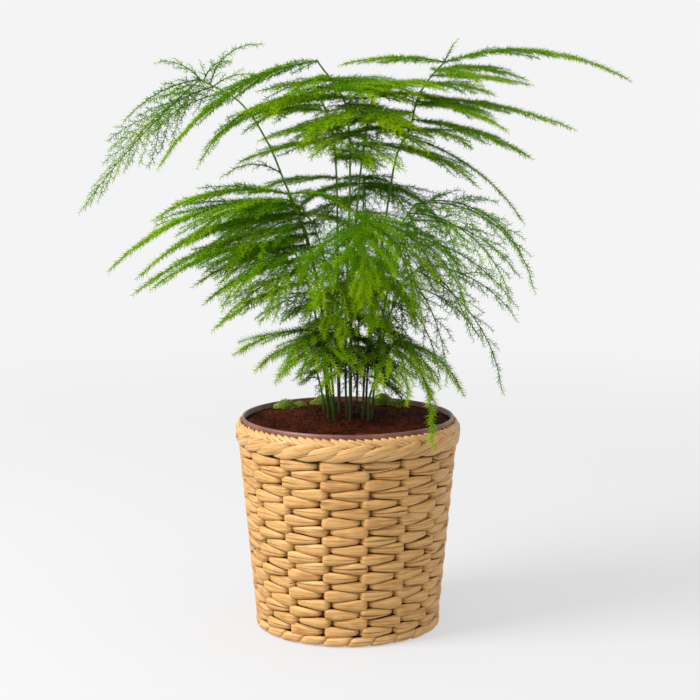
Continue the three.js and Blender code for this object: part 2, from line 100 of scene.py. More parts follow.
# Each frond: stem points in millimetres, then its sprays as [fraction up the stem, heading, rise,
# droop, reach, spread]. Headings run from +X towards +Y, angles are in degrees, and the spread is
# the length of the longest branchlets. The freshness tells how young and yellow its needles are.
FRONDS = {
    "left_arch": (0.75, [
        (-12, 6, 190), (-14, 6, 220), (-26, 8, 300), (-42, 12, 361), (-56, 14, 395),
        (-70, 16, 428), (-94, 18, 463), (-129, 20, 483)], [
        (1, 180, -40, 14, 154, 46), (1, 178, 52, 56, 40, 14), (0.97, 25, 78, 80, 62, 12),
        (0.96, 200, -14, 40, 92, 34), (0.92, 160, -4, 44, 80, 26), (0.85, 208, -30, 28, 64, 24),
        (0.66, 182, 38, 78, 52, 10)]),
    "left_top": (0.6, [
        (-1, -8, 190), (-2, -8, 230), (0, -8, 330), (2, -10, 400), (1, -14, 440),
        (-3, -18, 465), (-26, -26, 499)], [
        (1, 187, -8, 50, 164, 36), (0.95, 228, -4, 42, 72, 26), (0.88, 208, 6, 26, 94, 30),
        (0.83, 246, 4, 34, 84, 30), (0.75, 304, 2, 30, 78, 28)]),
    "left_middle": (0.65, [
        (-7, 14, 190), (-8, 15, 240), (-9, 18, 330), (-10, 22, 400), (-14, 26, 440),
        (-24, 30, 468)], [
        (1, 181, 0, 46, 112, 34), (0.95, 140, 10, 30, 88, 30), (0.9, 100, 6, 30, 90, 30),
        (0.85, 198, 2, 24, 86, 28), (0.8, 64, 6, 30, 86, 28), (0.74, 160, 4, 30, 84, 26)]),
    "centre_top": (0.7, [
        (3, 4, 190), (3, 5, 250), (6, 6, 340), (12, 4, 410), (18, 0, 450), (24, -6, 478)], [
        (1, 196, 12, 28, 100, 30), (1, 332, 12, 30, 66, 24), (0.96, 174, 4, 18, 104, 30),
        (0.92, 288, 4, 30, 82, 30), (0.89, 72, 6, 28, 90, 30), (0.85, 240, 2, 24, 92, 30),
        (0.82, 350, 0, 22, 74, 26)]),
    "right_top": (0.65, [
        (16, 8, 190), (18, 8, 230), (27, 9, 310), (36, 10, 380), (44, 10, 421), (54, 10, 440),
        (61, 10, 467), (72, 10, 485), (84, 10, 498)], [
        (1, 184, 12, 26, 88, 24), (1, 358, 18, 46, 162, 28), (1, 20, 66, 10, 18, 4),
        (0.95, 2, 4, 18, 84, 26), (0.92, 322, 6, 24, 68, 24), (0.88, 358, 0, 22, 136, 28),
        (0.86, 40, 6, 26, 92, 28), (0.82, 350, -4, 26, 106, 34), (0.79, 50, 4, 30, 92, 28),
        (0.77, 354, -14, 42, 126, 12), (0.8, 178, 0, 18, 88, 24)]),
    "left_low": (0.6, [
        (-16, -4, 190), (-18, -5, 220), (-24, -6, 290), (-36, -8, 350), (-52, -10, 385)], [
        (1, 181, 15, 50, 118, 36), (0.95, 192, 8, 52, 170, 40), (0.9, 176, 2, 46, 152, 38),
        (0.84, 190, -2, 36, 156, 36), (0.93, 130, 14, 50, 90, 32)]),
    "left_front": (0.55, [
        (-17, -12, 190), (-19, -14, 215), (-26, -20, 270), (-38, -28, 320), (-50, -34, 345)], [
        (1, 188, 2, 38, 122, 36), (0.94, 220, 2, 60, 90, 32), (0.88, 180, -5, 36, 88, 30),
        (0.82, 205, -5, 44, 86, 28), (0.76, 184, -10, 32, 88, 26), (0.9, 250, 4, 70, 80, 28)]),
    "left_skirt": (0.85, [
        (-12, -20, 190), (-14, -22, 205), (-20, -28, 245), (-30, -36, 270)], [
        (1, 190, 2, 34, 66, 26), (0.9, 178, -10, 34, 56, 20), (0.82, 200, -18, 34, 46, 16),
        (0.95, 245, 6, 60, 66, 24), (0.85, 280, 4, 66, 62, 22)]),
    "front_centre": (0.6, [
        (2, -22, 190), (2, -24, 230), (4, -30, 300), (10, -42, 345), (16, -56, 370)], [
        (1, 268, 6, 96, 104, 34), (0.95, 305, 2, 84, 100, 34), (0.9, 238, 2, 80, 94, 32),
        (0.84, 278, -8, 80, 92, 32), (0.78, 322, -4, 74, 88, 28), (0.72, 255, -8, 74, 80, 26)]),
    "right_front": (0.55, [
        (13, -16, 190), (15, -17, 230), (24, -20, 300), (40, -26, 350), (58, -32, 378)], [
        (1, 346, 10, 88, 136, 32), (0.95, 330, 2, 74, 126, 30), (0.89, 308, 0, 74, 112, 30),
        (0.84, 354, -5, 50, 122, 28), (0.8, 290, -4, 72, 96, 28)]),
    "right_low": (0.45, [
        (21, -8, 190), (24, -9, 220), (34, -12, 270), (50, -16, 310), (66, -20, 325)], [
        (1, 352, -4, 50, 92, 26), (0.94, 336, -20, 62, 132, 20), (0.88, 300, -22, 60, 106, 22),
        (0.82, 8, -8, 52, 84, 22), (0.76, 318, -30, 50, 84, 16)]),
    "right_back": (0.3, [
        (22, 6, 190), (25, 8, 230), (36, 16, 300), (52, 28, 350), (66, 38, 375)], [
        (1, 28, 6, 62, 122, 34), (0.95, 64, 4, 64, 112, 32), (0.9, 6, 2, 58, 112, 30),
        (0.84, 45, -4, 58, 100, 28), (0.78, 80, -4, 60, 92, 28)]),
    "back_centre": (0.25, [
        (8, 20, 190), (9, 24, 240), (12, 34, 320), (14, 50, 370), (14, 66, 395)], [
        (1, 88, 6, 76, 104, 36), (0.95, 55, 6, 66, 100, 32), (0.9, 122, 4, 66, 104, 32),
        (0.84, 72, -4, 70, 96, 30), (0.78, 105, -4, 66, 96, 28)]),
    "back_left": (0.25, [
        (-8, 24, 190), (-10, 28, 240), (-18, 38, 310), (-30, 52, 350), (-42, 64, 368)], [
        (1, 142, 6, 62, 116, 34), (0.95, 168, 4, 54, 118, 32), (0.9, 118, 2, 66, 100, 30),
        (0.84, 152, -4, 56, 96, 28), (0.78, 176, -6, 46, 90, 26)]),
    "front_low": (0.95, [
        (18, -22, 190), (19, -23, 208), (30, -34, 240), (40, -44, 260), (46, -50, 264)], [
        (1, 308, -30, 68, 97, 7), (0.94, 350, -8, 56, 70, 20), (0.88, 285, -6, 70, 62, 20),
        (0.8, 330, -16, 56, 60, 16)]),
    "seedling": (0.6, [
        (-21, 12, 190), (-22, 12, 200), (-27, 12, 224)], [
        (1, 170, 20, 60, 18, 6), (0.85, 200, 30, 60, 14, 5)]),
}

# Shorter sprays that fill each frond between those of its solid, in the same terms
FILLERS = {
    "left_arch": [(0.99, 60, 56, 66, 46, 16), (0.96, 350, 40, 50, 40, 14), (1, 208, -6, 40, 80, 16)],
    "left_top": [
        (0.94, 350, 4, 30, 80, 30), (0.9, 20, 6, 30, 74, 28), (0.86, 330, 0, 30, 70, 28),
        (0.92, 300, 4, 30, 70, 30), (0.84, 20, 0, 30, 76, 30),
        (0.3, 250, -6, 50, 50, 26), (0.2, 300, -8, 50, 42, 24), (0.13, 220, -8, 40, 34, 22),
        (0.42, 50, -6, 50, 44, 26)],
    "left_middle": [
        (0.97, 215, 6, 40, 84, 28), (0.9, 250, 2, 30, 76, 28), (0.83, 300, 0, 30, 70, 26),
        (0.3, 205, -6, 50, 48, 24), (0.2, 150, -8, 50, 40, 24), (0.16, 190, -8, 40, 34, 22),
        (0.25, 20, -8, 40, 40, 24), (0.4, 260, -6, 50, 44, 26), (0.5, 340, -6, 50, 44, 26)],
    "centre_top": [
        (0.97, 20, 8, 30, 80, 28), (0.94, 240, 2, 30, 78, 28), (0.87, 310, 2, 30, 80, 28),
        (0.99, 215, 8, 30, 90, 30), (0.9, 190, 0, 22, 94, 30),
        (0.3, 60, 0, 40, 50, 24), (0.24, 110, -4, 40, 48, 22), (0.18, 20, -8, 50, 42, 24),
        (0.14, 280, -8, 40, 32, 22), (0.2, 200, -8, 40, 36, 24), (0.4, 160, -6, 50, 44, 26),
        (0.48, 300, -6, 50, 44, 26)],
    "right_top": [
        (0.97, 300, 6, 30, 66, 24), (0.93, 215, 2, 20, 78, 26), (0.84, 200, 0, 22, 80, 26),
        (0.97, 20, 10, 30, 84, 26), (0.87, 330, -2, 26, 88, 28),
        (0.74, 330, -6, 34, 80, 26), (0.24, 340, -6, 50, 50, 26), (0.16, 30, -8, 50, 44, 24),
        (0.1, 0, -10, 50, 40, 22), (0.13, 310, -8, 40, 36, 22), (0.2, 260, -8, 40, 38, 24),
        (0.34, 120, -6, 50, 44, 26), (0.38, 220, -6, 50, 44, 26)],
    "left_low": [
        (0.97, 215, 8, 50, 110, 34), (0.88, 225, 0, 46, 90, 30), (0.8, 215, -4, 36, 96, 30),
        (1, 350, 10, 60, 76, 28), (0.9, 20, 4, 50, 78, 28), (0.76, 180, -4, 30, 104, 30),
        (0.55, 260, -6, 50, 56, 26)],
    "left_front": [
        (0.97, 160, 4, 40, 84, 30), (0.85, 245, -2, 50, 72, 26), (0.95, 320, 4, 70, 78, 30),
        (0.85, 300, 0, 70, 70, 28), (0.7, 225, 0, 36, 60, 26), (0.55, 330, -2, 50, 50, 26),
        (0.45, 300, -4, 50, 44, 24), (0.38, 350, -4, 50, 40, 24)],
    "left_skirt": [
        (0.97, 320, 4, 60, 60, 24), (0.85, 250, -4, 50, 50, 22)],
    "front_centre": [
        (0.97, 340, 2, 80, 88, 32), (0.92, 200, 0, 80, 82, 30), (0.8, 215, -6, 76, 80, 28),
        (0.75, 290, -8, 76, 70, 26), (0.66, 235, -10, 60, 62, 24), (0.66, 310, -10, 60, 62, 24),
        (0.58, 262, -2, 60, 54, 26), (0.5, 320, -6, 60, 52, 24), (0.88, 270, 0, 70, 70, 30),
        (0.94, 285, 4, 80, 86, 30), (0.72, 340, -4, 66, 70, 26)],
    "right_front": [
        (0.84, 320, -2, 70, 100, 30), (0.76, 270, -6, 70, 76, 26), (0.6, 285, -6, 66, 66, 26),
        (0.5, 320, -8, 60, 62, 24), (0.55, 235, -6, 60, 60, 26), (0.4, 300, -8, 60, 52, 24),
        (0.3, 340, -8, 60, 48, 24)],
    "right_low": [
        (0.97, 310, -8, 62, 86, 24), (0.8, 270, -14, 60, 62, 22), (0.6, 250, -8, 60, 54, 24),
        (0.62, 190, -4, 50, 56, 24), (0.45, 330, -10, 60, 52, 24), (0.35, 290, -10, 60, 44, 22)],
    "right_back": [(0.5, 50, 0, 40, 52, 26), (0.4, 90, -6, 40, 50, 24)],
    "back_centre": [
        (0.97, 20, 4, 60, 84, 28), (0.97, 160, 4, 60, 84, 28), (0.45, 95, 0, 40, 54, 26),
        (0.38, 40, -5, 40, 52, 26), (0.33, 150, -5, 40, 52, 26), (0.26, 85, -8, 40, 46, 24),
        (0.2, 20, -8, 40, 42, 24), (0.24, 150, -8, 40, 38, 24), (0.3, 60, -8, 40, 42, 24)],
    "back_left": [
        (0.97, 210, 4, 40, 80, 26), (0.5, 150, 0, 40, 54, 26), (0.42, 100, -4, 40, 54, 26),
        (0.36, 190, -6, 40, 48, 24), (0.28, 130, -8, 40, 42, 24), (0.22, 60, -8, 40, 42, 24)],
    "front_low": [(0.92, 320, -6, 60, 54, 18), (0.84, 250, -6, 64, 52, 20)],
}

# How each kind of frond carries its growth: the pitch of its branchlets, of their twigs and of its
# needles, the longest twig and the needles' length in millimetres, then how far its needles stand
# out, how uneven its twigs lie, and how wide it spreads. Brushes carry needles and no twigs.
GROWTH = {
    "plain": (5.2, 4.8, 1.05, 13, 6.0, 0.9, 0.9, 1.35),
    "layer": (4.8, 4.8, 1.1, 13, 5.6, 0.85, 0.8, 1.35),
    "plume": (6.0, 5.2, 1.1, 12, 5.6, 1.0, 0.8, 1.0),
    "brush": (7.4, 6.0, 0.5, 0, 7.4, 1.25, 0.9, 1.5),
    "airy": (10.4, 5.4, 1.1, 12, 5.8, 1.0, 1.0, 1.25),
}
HABIT = {
    "left_arch": "plume", "left_top": "layer", "left_middle": "layer", "centre_top": "layer",
    "right_top": "layer", "left_front": "plain", "left_skirt": "brush", "front_centre": "brush",
    "front_low": "brush", "right_front": "airy", "right_back": "airy", "right_low": "airy",
}

# How far some sprays are turned about their own cores, so that they show their faces, in degrees
TURNED = {"left_arch": 38, "left_top": 10, "right_back": 26, "right_front": 24, "right_low": 24}

# Kinds of node that many trees use, and settings that they share
MATH = "ShaderNodeMath"
VECTOR = "ShaderNodeVectorMath"
NOISE = "ShaderNodeTexNoise"
RAMP = "ShaderNodeValToRGB"
RANDOM = "FunctionNodeRandomValue"
COMPARE = "FunctionNodeCompare"
AIM = "FunctionNodeAxesToRotation"
STORE = "GeometryNodeStoreNamedAttribute"
READ = "GeometryNodeInputNamedAttribute"
PLACES = "GeometryNodeCurveToPoints"
REALIZE = "GeometryNodeRealizeInstances"
JOIN = "GeometryNodeJoinGeometry"
TINTED = {"data_type": "RGBA", "blend_type": "MULTIPLY"}
SPIKE = {
    "Vertices": 3, "Side Segments": 1, "Radius Top": 0.0, "Radius Bottom": 1.0, "Depth": 1.0}


def linear(hex_colour):
    """An sRGB hex colour as linear red, green, blue and alpha."""
    channels = [int(hex_colour[i:i + 2], 16) / 255 for i in (1, 3, 5)]
    return [c / 12.92 if c <= 0.04045 else ((c + 0.055) / 1.055) ** 2.4 for c in channels] + [1]


def feed(tree, node, inputs):
    """Feeds inputs, by name or number, each with a value, a socket or a node's first output."""
    for name, value in inputs.items():
        if isinstance(value, bpy.types.Node):
            value = value.outputs[0]
        if isinstance(value, bpy.types.NodeSocket):
            tree.links.new(value, node.inputs[name])
        else:
            node.inputs[name].default_value = value


def add(tree, kind, *inputs, **settings):
    """Adds a node with its settings. Its inputs come in their order, or in one dictionary by name."""
    node = tree.nodes.new(kind)
    for name, value in settings.items():
        setattr(node, name, value)
    named = inputs and isinstance(inputs[0], dict)
    feed(tree, node, inputs[0] if named else dict(enumerate(inputs)))
    return node


def shape_curve(node, points):
    """Sets a curve node to pass through the points, given as (place, value) pairs."""
    curve = node.mapping.curves[0]
    node.mapping.use_clip = False
    curve.points[0].location = points[0]
    curve.points[-1].location = points[-1]
    for place, value in points[1:-1]:
        curve.points.new(place, value)
    for point in curve.points:
        point.handle_type = "AUTO_CLAMPED"
    node.mapping.update()
    return node


def shape_ramp(node, stops):
    """Sets a colour ramp to its stops, given as (place, hex colour) pairs."""
    ramp = node.color_ramp
    ramp.elements[0].position, ramp.elements[0].color = stops[0][0], linear(stops[0][1])
    ramp.elements[1].position, ramp.elements[1].color = stops[-1][0], linear(stops[-1][1])
    for place, colour in stops[1:-1]:
        ramp.elements.new(place).color = linear(colour)
    return node


def new_tree(name, sizes):
    """A Geometry Nodes tree with a named input for each size, and its inputs' sockets."""
    tree = bpy.data.node_groups.new(name, "GeometryNodeTree")
    tree.interface.new_socket("Geometry", in_out="INPUT", socket_type="NodeSocketGeometry")
    tree.interface.new_socket("Geometry", in_out="OUTPUT", socket_type="NodeSocketGeometry")
    for label, value in sizes.items():
        kind = "NodeSocketInt" if isinstance(value, int) else "NodeSocketFloat"
        socket = tree.interface.new_socket(label, in_out="INPUT", socket_type=kind)
        socket.default_value = value
    return tree, tree.nodes.new("NodeGroupInput").outputs


def end_tree(tree, geometry, material, smooth=True):
    """Ends a tree with real geometry in its material."""
    real = add(tree, REALIZE, {"Geometry": geometry})
    soft = add(tree, "GeometryNodeSetShadeSmooth", {"Geometry": real, "Shade Smooth": smooth})
    painted = add(tree, "GeometryNodeSetMaterial", {"Geometry": soft, "Material": material})
    add(tree, "NodeGroupOutput", {"Geometry": painted})
    return tree


def link_object(name, data):
    """Puts a mesh, a lamp or a camera in the scene."""
    piece = bpy.data.objects.new(name, data)
    bpy.context.scene.collection.objects.link(piece)
    return piece


def grow(name, tree, sizes, start=None):
    """Runs a tree with these sizes and keeps what it makes as a plain mesh in a piece of its own."""
    source = link_object(name + "_source", start or bpy.data.meshes.new(name + "_source"))
    modifier = source.modifiers.new("grow", "NODES")
    modifier.node_group = tree
    for socket in tree.interface.items_tree:
        if socket.in_out == "INPUT" and socket.name in sizes:
            modifier[socket.identifier] = sizes[socket.name]
    graph = bpy.context.evaluated_depsgraph_get()
    mesh = bpy.data.meshes.new_from_object(
        source.evaluated_get(graph), preserve_all_data_layers=True, depsgraph=graph)
    mesh.name = name
    bpy.data.objects.remove(source)
    return link_object(name, mesh)


def turned(name, outline, sides, material):
    """A closed outline of (radius, height) pairs turned round the Z axis. It may start on the axis."""
    verts, rings = [], []
    for radius, height in outline:
        count = sides if radius > 0 else 1
        rings.append([len(verts) + i for i in range(count)])
        for i in range(count):
            angle = TURN * i / count
            verts.append((radius * math.sin(angle), -radius * math.cos(angle), height))
    pairs = list(zip(rings, rings[1:]))
    if outline[0][0] > 0:
        pairs.append((rings[-1], rings[0]))
    faces = []
    for low, high in pairs:
        for i in range(sides):
            a, b = low[i % len(low)], low[(i + 1) % len(low)]
            c, d = high[(i + 1) % len(high)], high[i % len(high)]
            corners = dict.fromkeys((a, b, c, d))
            if len(corners) > 2:
                faces.append(tuple(corners))
    mesh = bpy.data.meshes.new(name)
    mesh.from_pydata(verts, [], faces)
    mesh.polygons.foreach_set("use_smooth", [True] * len(faces))
    mesh.materials.append(material)
    mesh.update()
    return link_object(name, mesh)


def principled(name):
    """A new material, its tree and its Principled shader."""
    material = bpy.data.materials.new(name)
    material.use_nodes = True
    return material, material.node_tree, material.node_tree.nodes["Principled BSDF"]


def mottled(tree, place, scale, detail, stops, **more):
    """Noise of this scale, and the colours that the stops give it."""
    cloud = add(tree, NOISE, {"Vector": place, "Scale": scale, "Detail": detail, **more})
    return cloud, shape_ramp(add(tree, RAMP, {"Fac": cloud}), stops)


def paint_strand(name, pale, middle, dark, crease):
    """Dry water hyacinth stalk: flattened when it was plaited, matt, with long fibres that catch light
    and fine dark creases between them. It reads the strand's own fibre directions."""
    material, tree, shader = principled(name)
    fibre = add(tree, "ShaderNodeAttribute", attribute_name="fibre").outputs["Vector"]
    thread_place, fold_place, patch_place = (
        add(tree, "ShaderNodeMapping", {"Vector": fibre, "Scale": scale})
        for scale in ((45, 900, 40), (16, 480, 40), (40, 120, 900)))
    threads, tones = mottled(tree, thread_place, 1.0, 5.0, [
        (0.22, dark), (0.4, middle), (0.54, pale), (0.75, pale)], Roughness=0.62, Distortion=0.25)
    folds = add(tree, NOISE, {"Vector": fold_place, "Scale": 1.0, "Detail": 3.0, "Distortion": 0.4})
    depth = add(tree, "ShaderNodeMapRange", {"Value": folds, "From Min": 0.29, "From Max": 0.41})
    creased = add(tree, "ShaderNodeMix", {0: depth, 6: linear(crease), 7: tones}, data_type="RGBA")
    _, tint = mottled(tree, patch_place, 1.0, 2.0, [
        (0.3, "#DCC39A"), (0.45, "#FFFFFF"), (0.6, "#FFFFFF"), (0.75, "#E4E4BC")])
    coloured = add(tree, "ShaderNodeMix", {0: 0.75, 6: creased.outputs[2], 7: tint}, **TINTED)
    ridges = add(tree, MATH, threads, depth, operation="ADD")
    bump = add(tree, "ShaderNodeBump", {"Strength": 0.55, "Distance": 0.5 * MM, "Height": ridges})
    feed(tree, shader, {"Base Color": coloured.outputs[2], "Roughness": 0.5, "Normal": bump})
    return material


def paint_shaded_inner_weave():
    """Inner face of the weave, deep behind the strands: the same stalk, painted dark brown as painted
    shade for the gaps between the strands.
    """
    material, tree, shader = principled("water_hyacinth_painted_shade")
    place = add(tree, "ShaderNodeTexCoord").outputs["Object"]
    # Painted shade: these dark browns stand for the shadow deep in the gaps, not the stalk's own colour
    grain, tones = mottled(tree, place, 400.0, 4.0, [(0.35, "#2E1A0C"), (0.65, "#5A3A1C")])
    bump = add(tree, "ShaderNodeBump", {"Strength": 0.4, "Distance": 0.6 * MM, "Height": grain})
    feed(tree, shader, {"Base Color": tones, "Roughness": 0.85, "Normal": bump})
    return material


def paint_pot():
    """Polypropylene nursery pot: moulded, satin, with a fine even grain and a little dust."""
    material, tree, shader = principled("moulded_polypropylene")
    place = add(tree, "ShaderNodeTexCoord").outputs["Object"]
    _, tones = mottled(tree, place, 60.0, 4.0, [(0.35, "#5E3324"), (0.7, "#7C5240")])
    grain = add(tree, NOISE, {"Vector": place, "Scale": 1800.0, "Detail": 2.0})
    bump = add(tree, "ShaderNodeBump", {"Strength": 0.15, "Distance": 0.1 * MM, "Height": grain})
    feed(tree, shader, {"Base Color": tones, "Roughness": 0.42, "IOR": 1.49, "Normal": bump})
    return material


def paint_soil():
    """Peat and bark potting mix: dark, damp, crumbly, with redder bits of bark."""
    material, tree, shader = principled("peat_and_bark")
    place = add(tree, "ShaderNodeTexCoord").outputs["Object"]
    crumbs, tones = mottled(tree, place, 320.0, 6.0, [
        (0.34, "#1A0902"), (0.5, "#401A08"), (0.62, "#602C10"), (0.74, "#804822")], Roughness=0.7)
    _, damp = mottled(tree, place, 34.0, 3.0, [(0.38, "#6E5A48"), (0.62, "#FFE4C4")])
    mixed = add(tree, "ShaderNodeMix", {0: 0.85, 6: tones, 7: damp}, **TINTED)
    bump = add(tree, "ShaderNodeBump", {"Strength": 0.8, "Distance": 1.2 * MM, "Height": crumbs})
    feed(tree, shader, {
        "Base Color": mixed.outputs[2], "Roughness": 0.95, "Specular IOR Level": 0.05, "Normal": bump})
    return material


def paint_moss():
    """Cushion moss: tiny soft leaves, bright yellow-green at the tips and dark between them."""
    material, tree, shader = principled("cushion_moss")
    tip = add(tree, "ShaderNodeAttribute", attribute_name="tip").outputs["Fac"]
    tones = shape_ramp(add(tree, RAMP, {"Fac": tip}), [
        (0.0, "#566A10"), (0.5, "#90A81E"), (1.0, "#C8DA4C")])
    place = add(tree, "ShaderNodeTexCoord").outputs["Object"]
    _, tint = mottled(tree, place, 160.0, 2.0, [(0.35, "#B9C46C"), (0.65, "#FFFFFF")])
    mixed = add(tree, "ShaderNodeMix", {0: 0.7, 6: tones, 7: tint}, **TINTED)
    feed(tree, shader, {"Base Color": mixed.outputs[2], "Roughness": 0.8})
    return material


def paint_stem():
    """Living stem: smooth green skin, browner and duller towards the soil."""
    material, tree, shader = principled("fern_stem")
    height = add(tree, "ShaderNodeAttribute", attribute_name="tip").outputs["Fac"]
    tones = shape_ramp(add(tree, RAMP, {"Fac": height}), [
        (0.0, "#383E0E"), (0.2, "#34600C"), (1.0, "#5E8C14")])
    place = add(tree, "ShaderNodeTexCoord").outputs["Object"]
    streaks = add(tree, "ShaderNodeMapping", {"Vector": place, "Scale": (900, 900, 90)})
    _, tint = mottled(tree, streaks, 1.0, 3.0, [(0.35, "#B0A080"), (0.65, "#FFFFFF")])
    mixed = add(tree, "ShaderNodeMix", {0: 0.8, 6: tones, 7: tint}, **TINTED)
    feed(tree, shader, {
        "Base Color": mixed.outputs[2], "Roughness": 0.55, "Specular IOR Level": 0.2})
    return material


def paint_needles():
    """Living needles: soft thin skin that lets light through, so they glow yellow-green when lit from
    behind. Young fronds and the tips of sprays are yellower, and each branchlet has its own tone. The
    needles in the plant's heart, just over the crown, are darkened with painted shade for the shadow of
    the dense foliage round them."""
    material, tree, shader = principled("fern_needles")
    fresh, tip, tone = (
        add(tree, "ShaderNodeAttribute", attribute_name=label).outputs["Fac"]
        for label in ("fresh", "tip", "tone"))
    share = add(tree, MATH, tip, 0.4, -0.08, operation="MULTIPLY_ADD")
    aged = add(tree, MATH, fresh, 0.45, share, operation="MULTIPLY_ADD")
    mixed = add(tree, MATH, tone, 0.35, aged, operation="MULTIPLY_ADD")
    tones = shape_ramp(add(tree, RAMP, {"Fac": mixed}), [
        (0.0, "#3A7600"), (0.35, "#649E00"), (0.65, "#96C200"), (1.0, "#C4DC0C")])
    # Painted shade: towards the plant's heart over the crown, the needles' colour is scaled down to a
    # tenth, standing for the dense foliage's shadow
    place = add(tree, "ShaderNodeTexCoord").outputs["Object"]
    heart = add(tree, VECTOR, place, SHADOW_MIDDLE, operation="SUBTRACT")
    heart = add(tree, VECTOR, heart, SHADOW_SIZE, operation="DIVIDE")
    away = add(tree, VECTOR, heart, operation="LENGTH").outputs["Value"]
    heart_shade = add(tree, "ShaderNodeMapRange", {
        "Value": away, "From Min": 0.45, "From Max": 1.15, "To Min": 0.1, "To Max": 1.0})
    green = add(tree, VECTOR, {0: tones, "Scale": heart_shade}, operation="SCALE")
    feed(tree, shader, {"Base Color": green, "Roughness": 0.6, "Specular IOR Level": 0.1})
    glow = add(tree, "ShaderNodeBsdfTranslucent", {"Color": green})
    skin = add(tree, "ShaderNodeMixShader", 0.45, shader, glow)
    feed(tree, tree.nodes["Material Output"], {"Surface": skin})
    return material


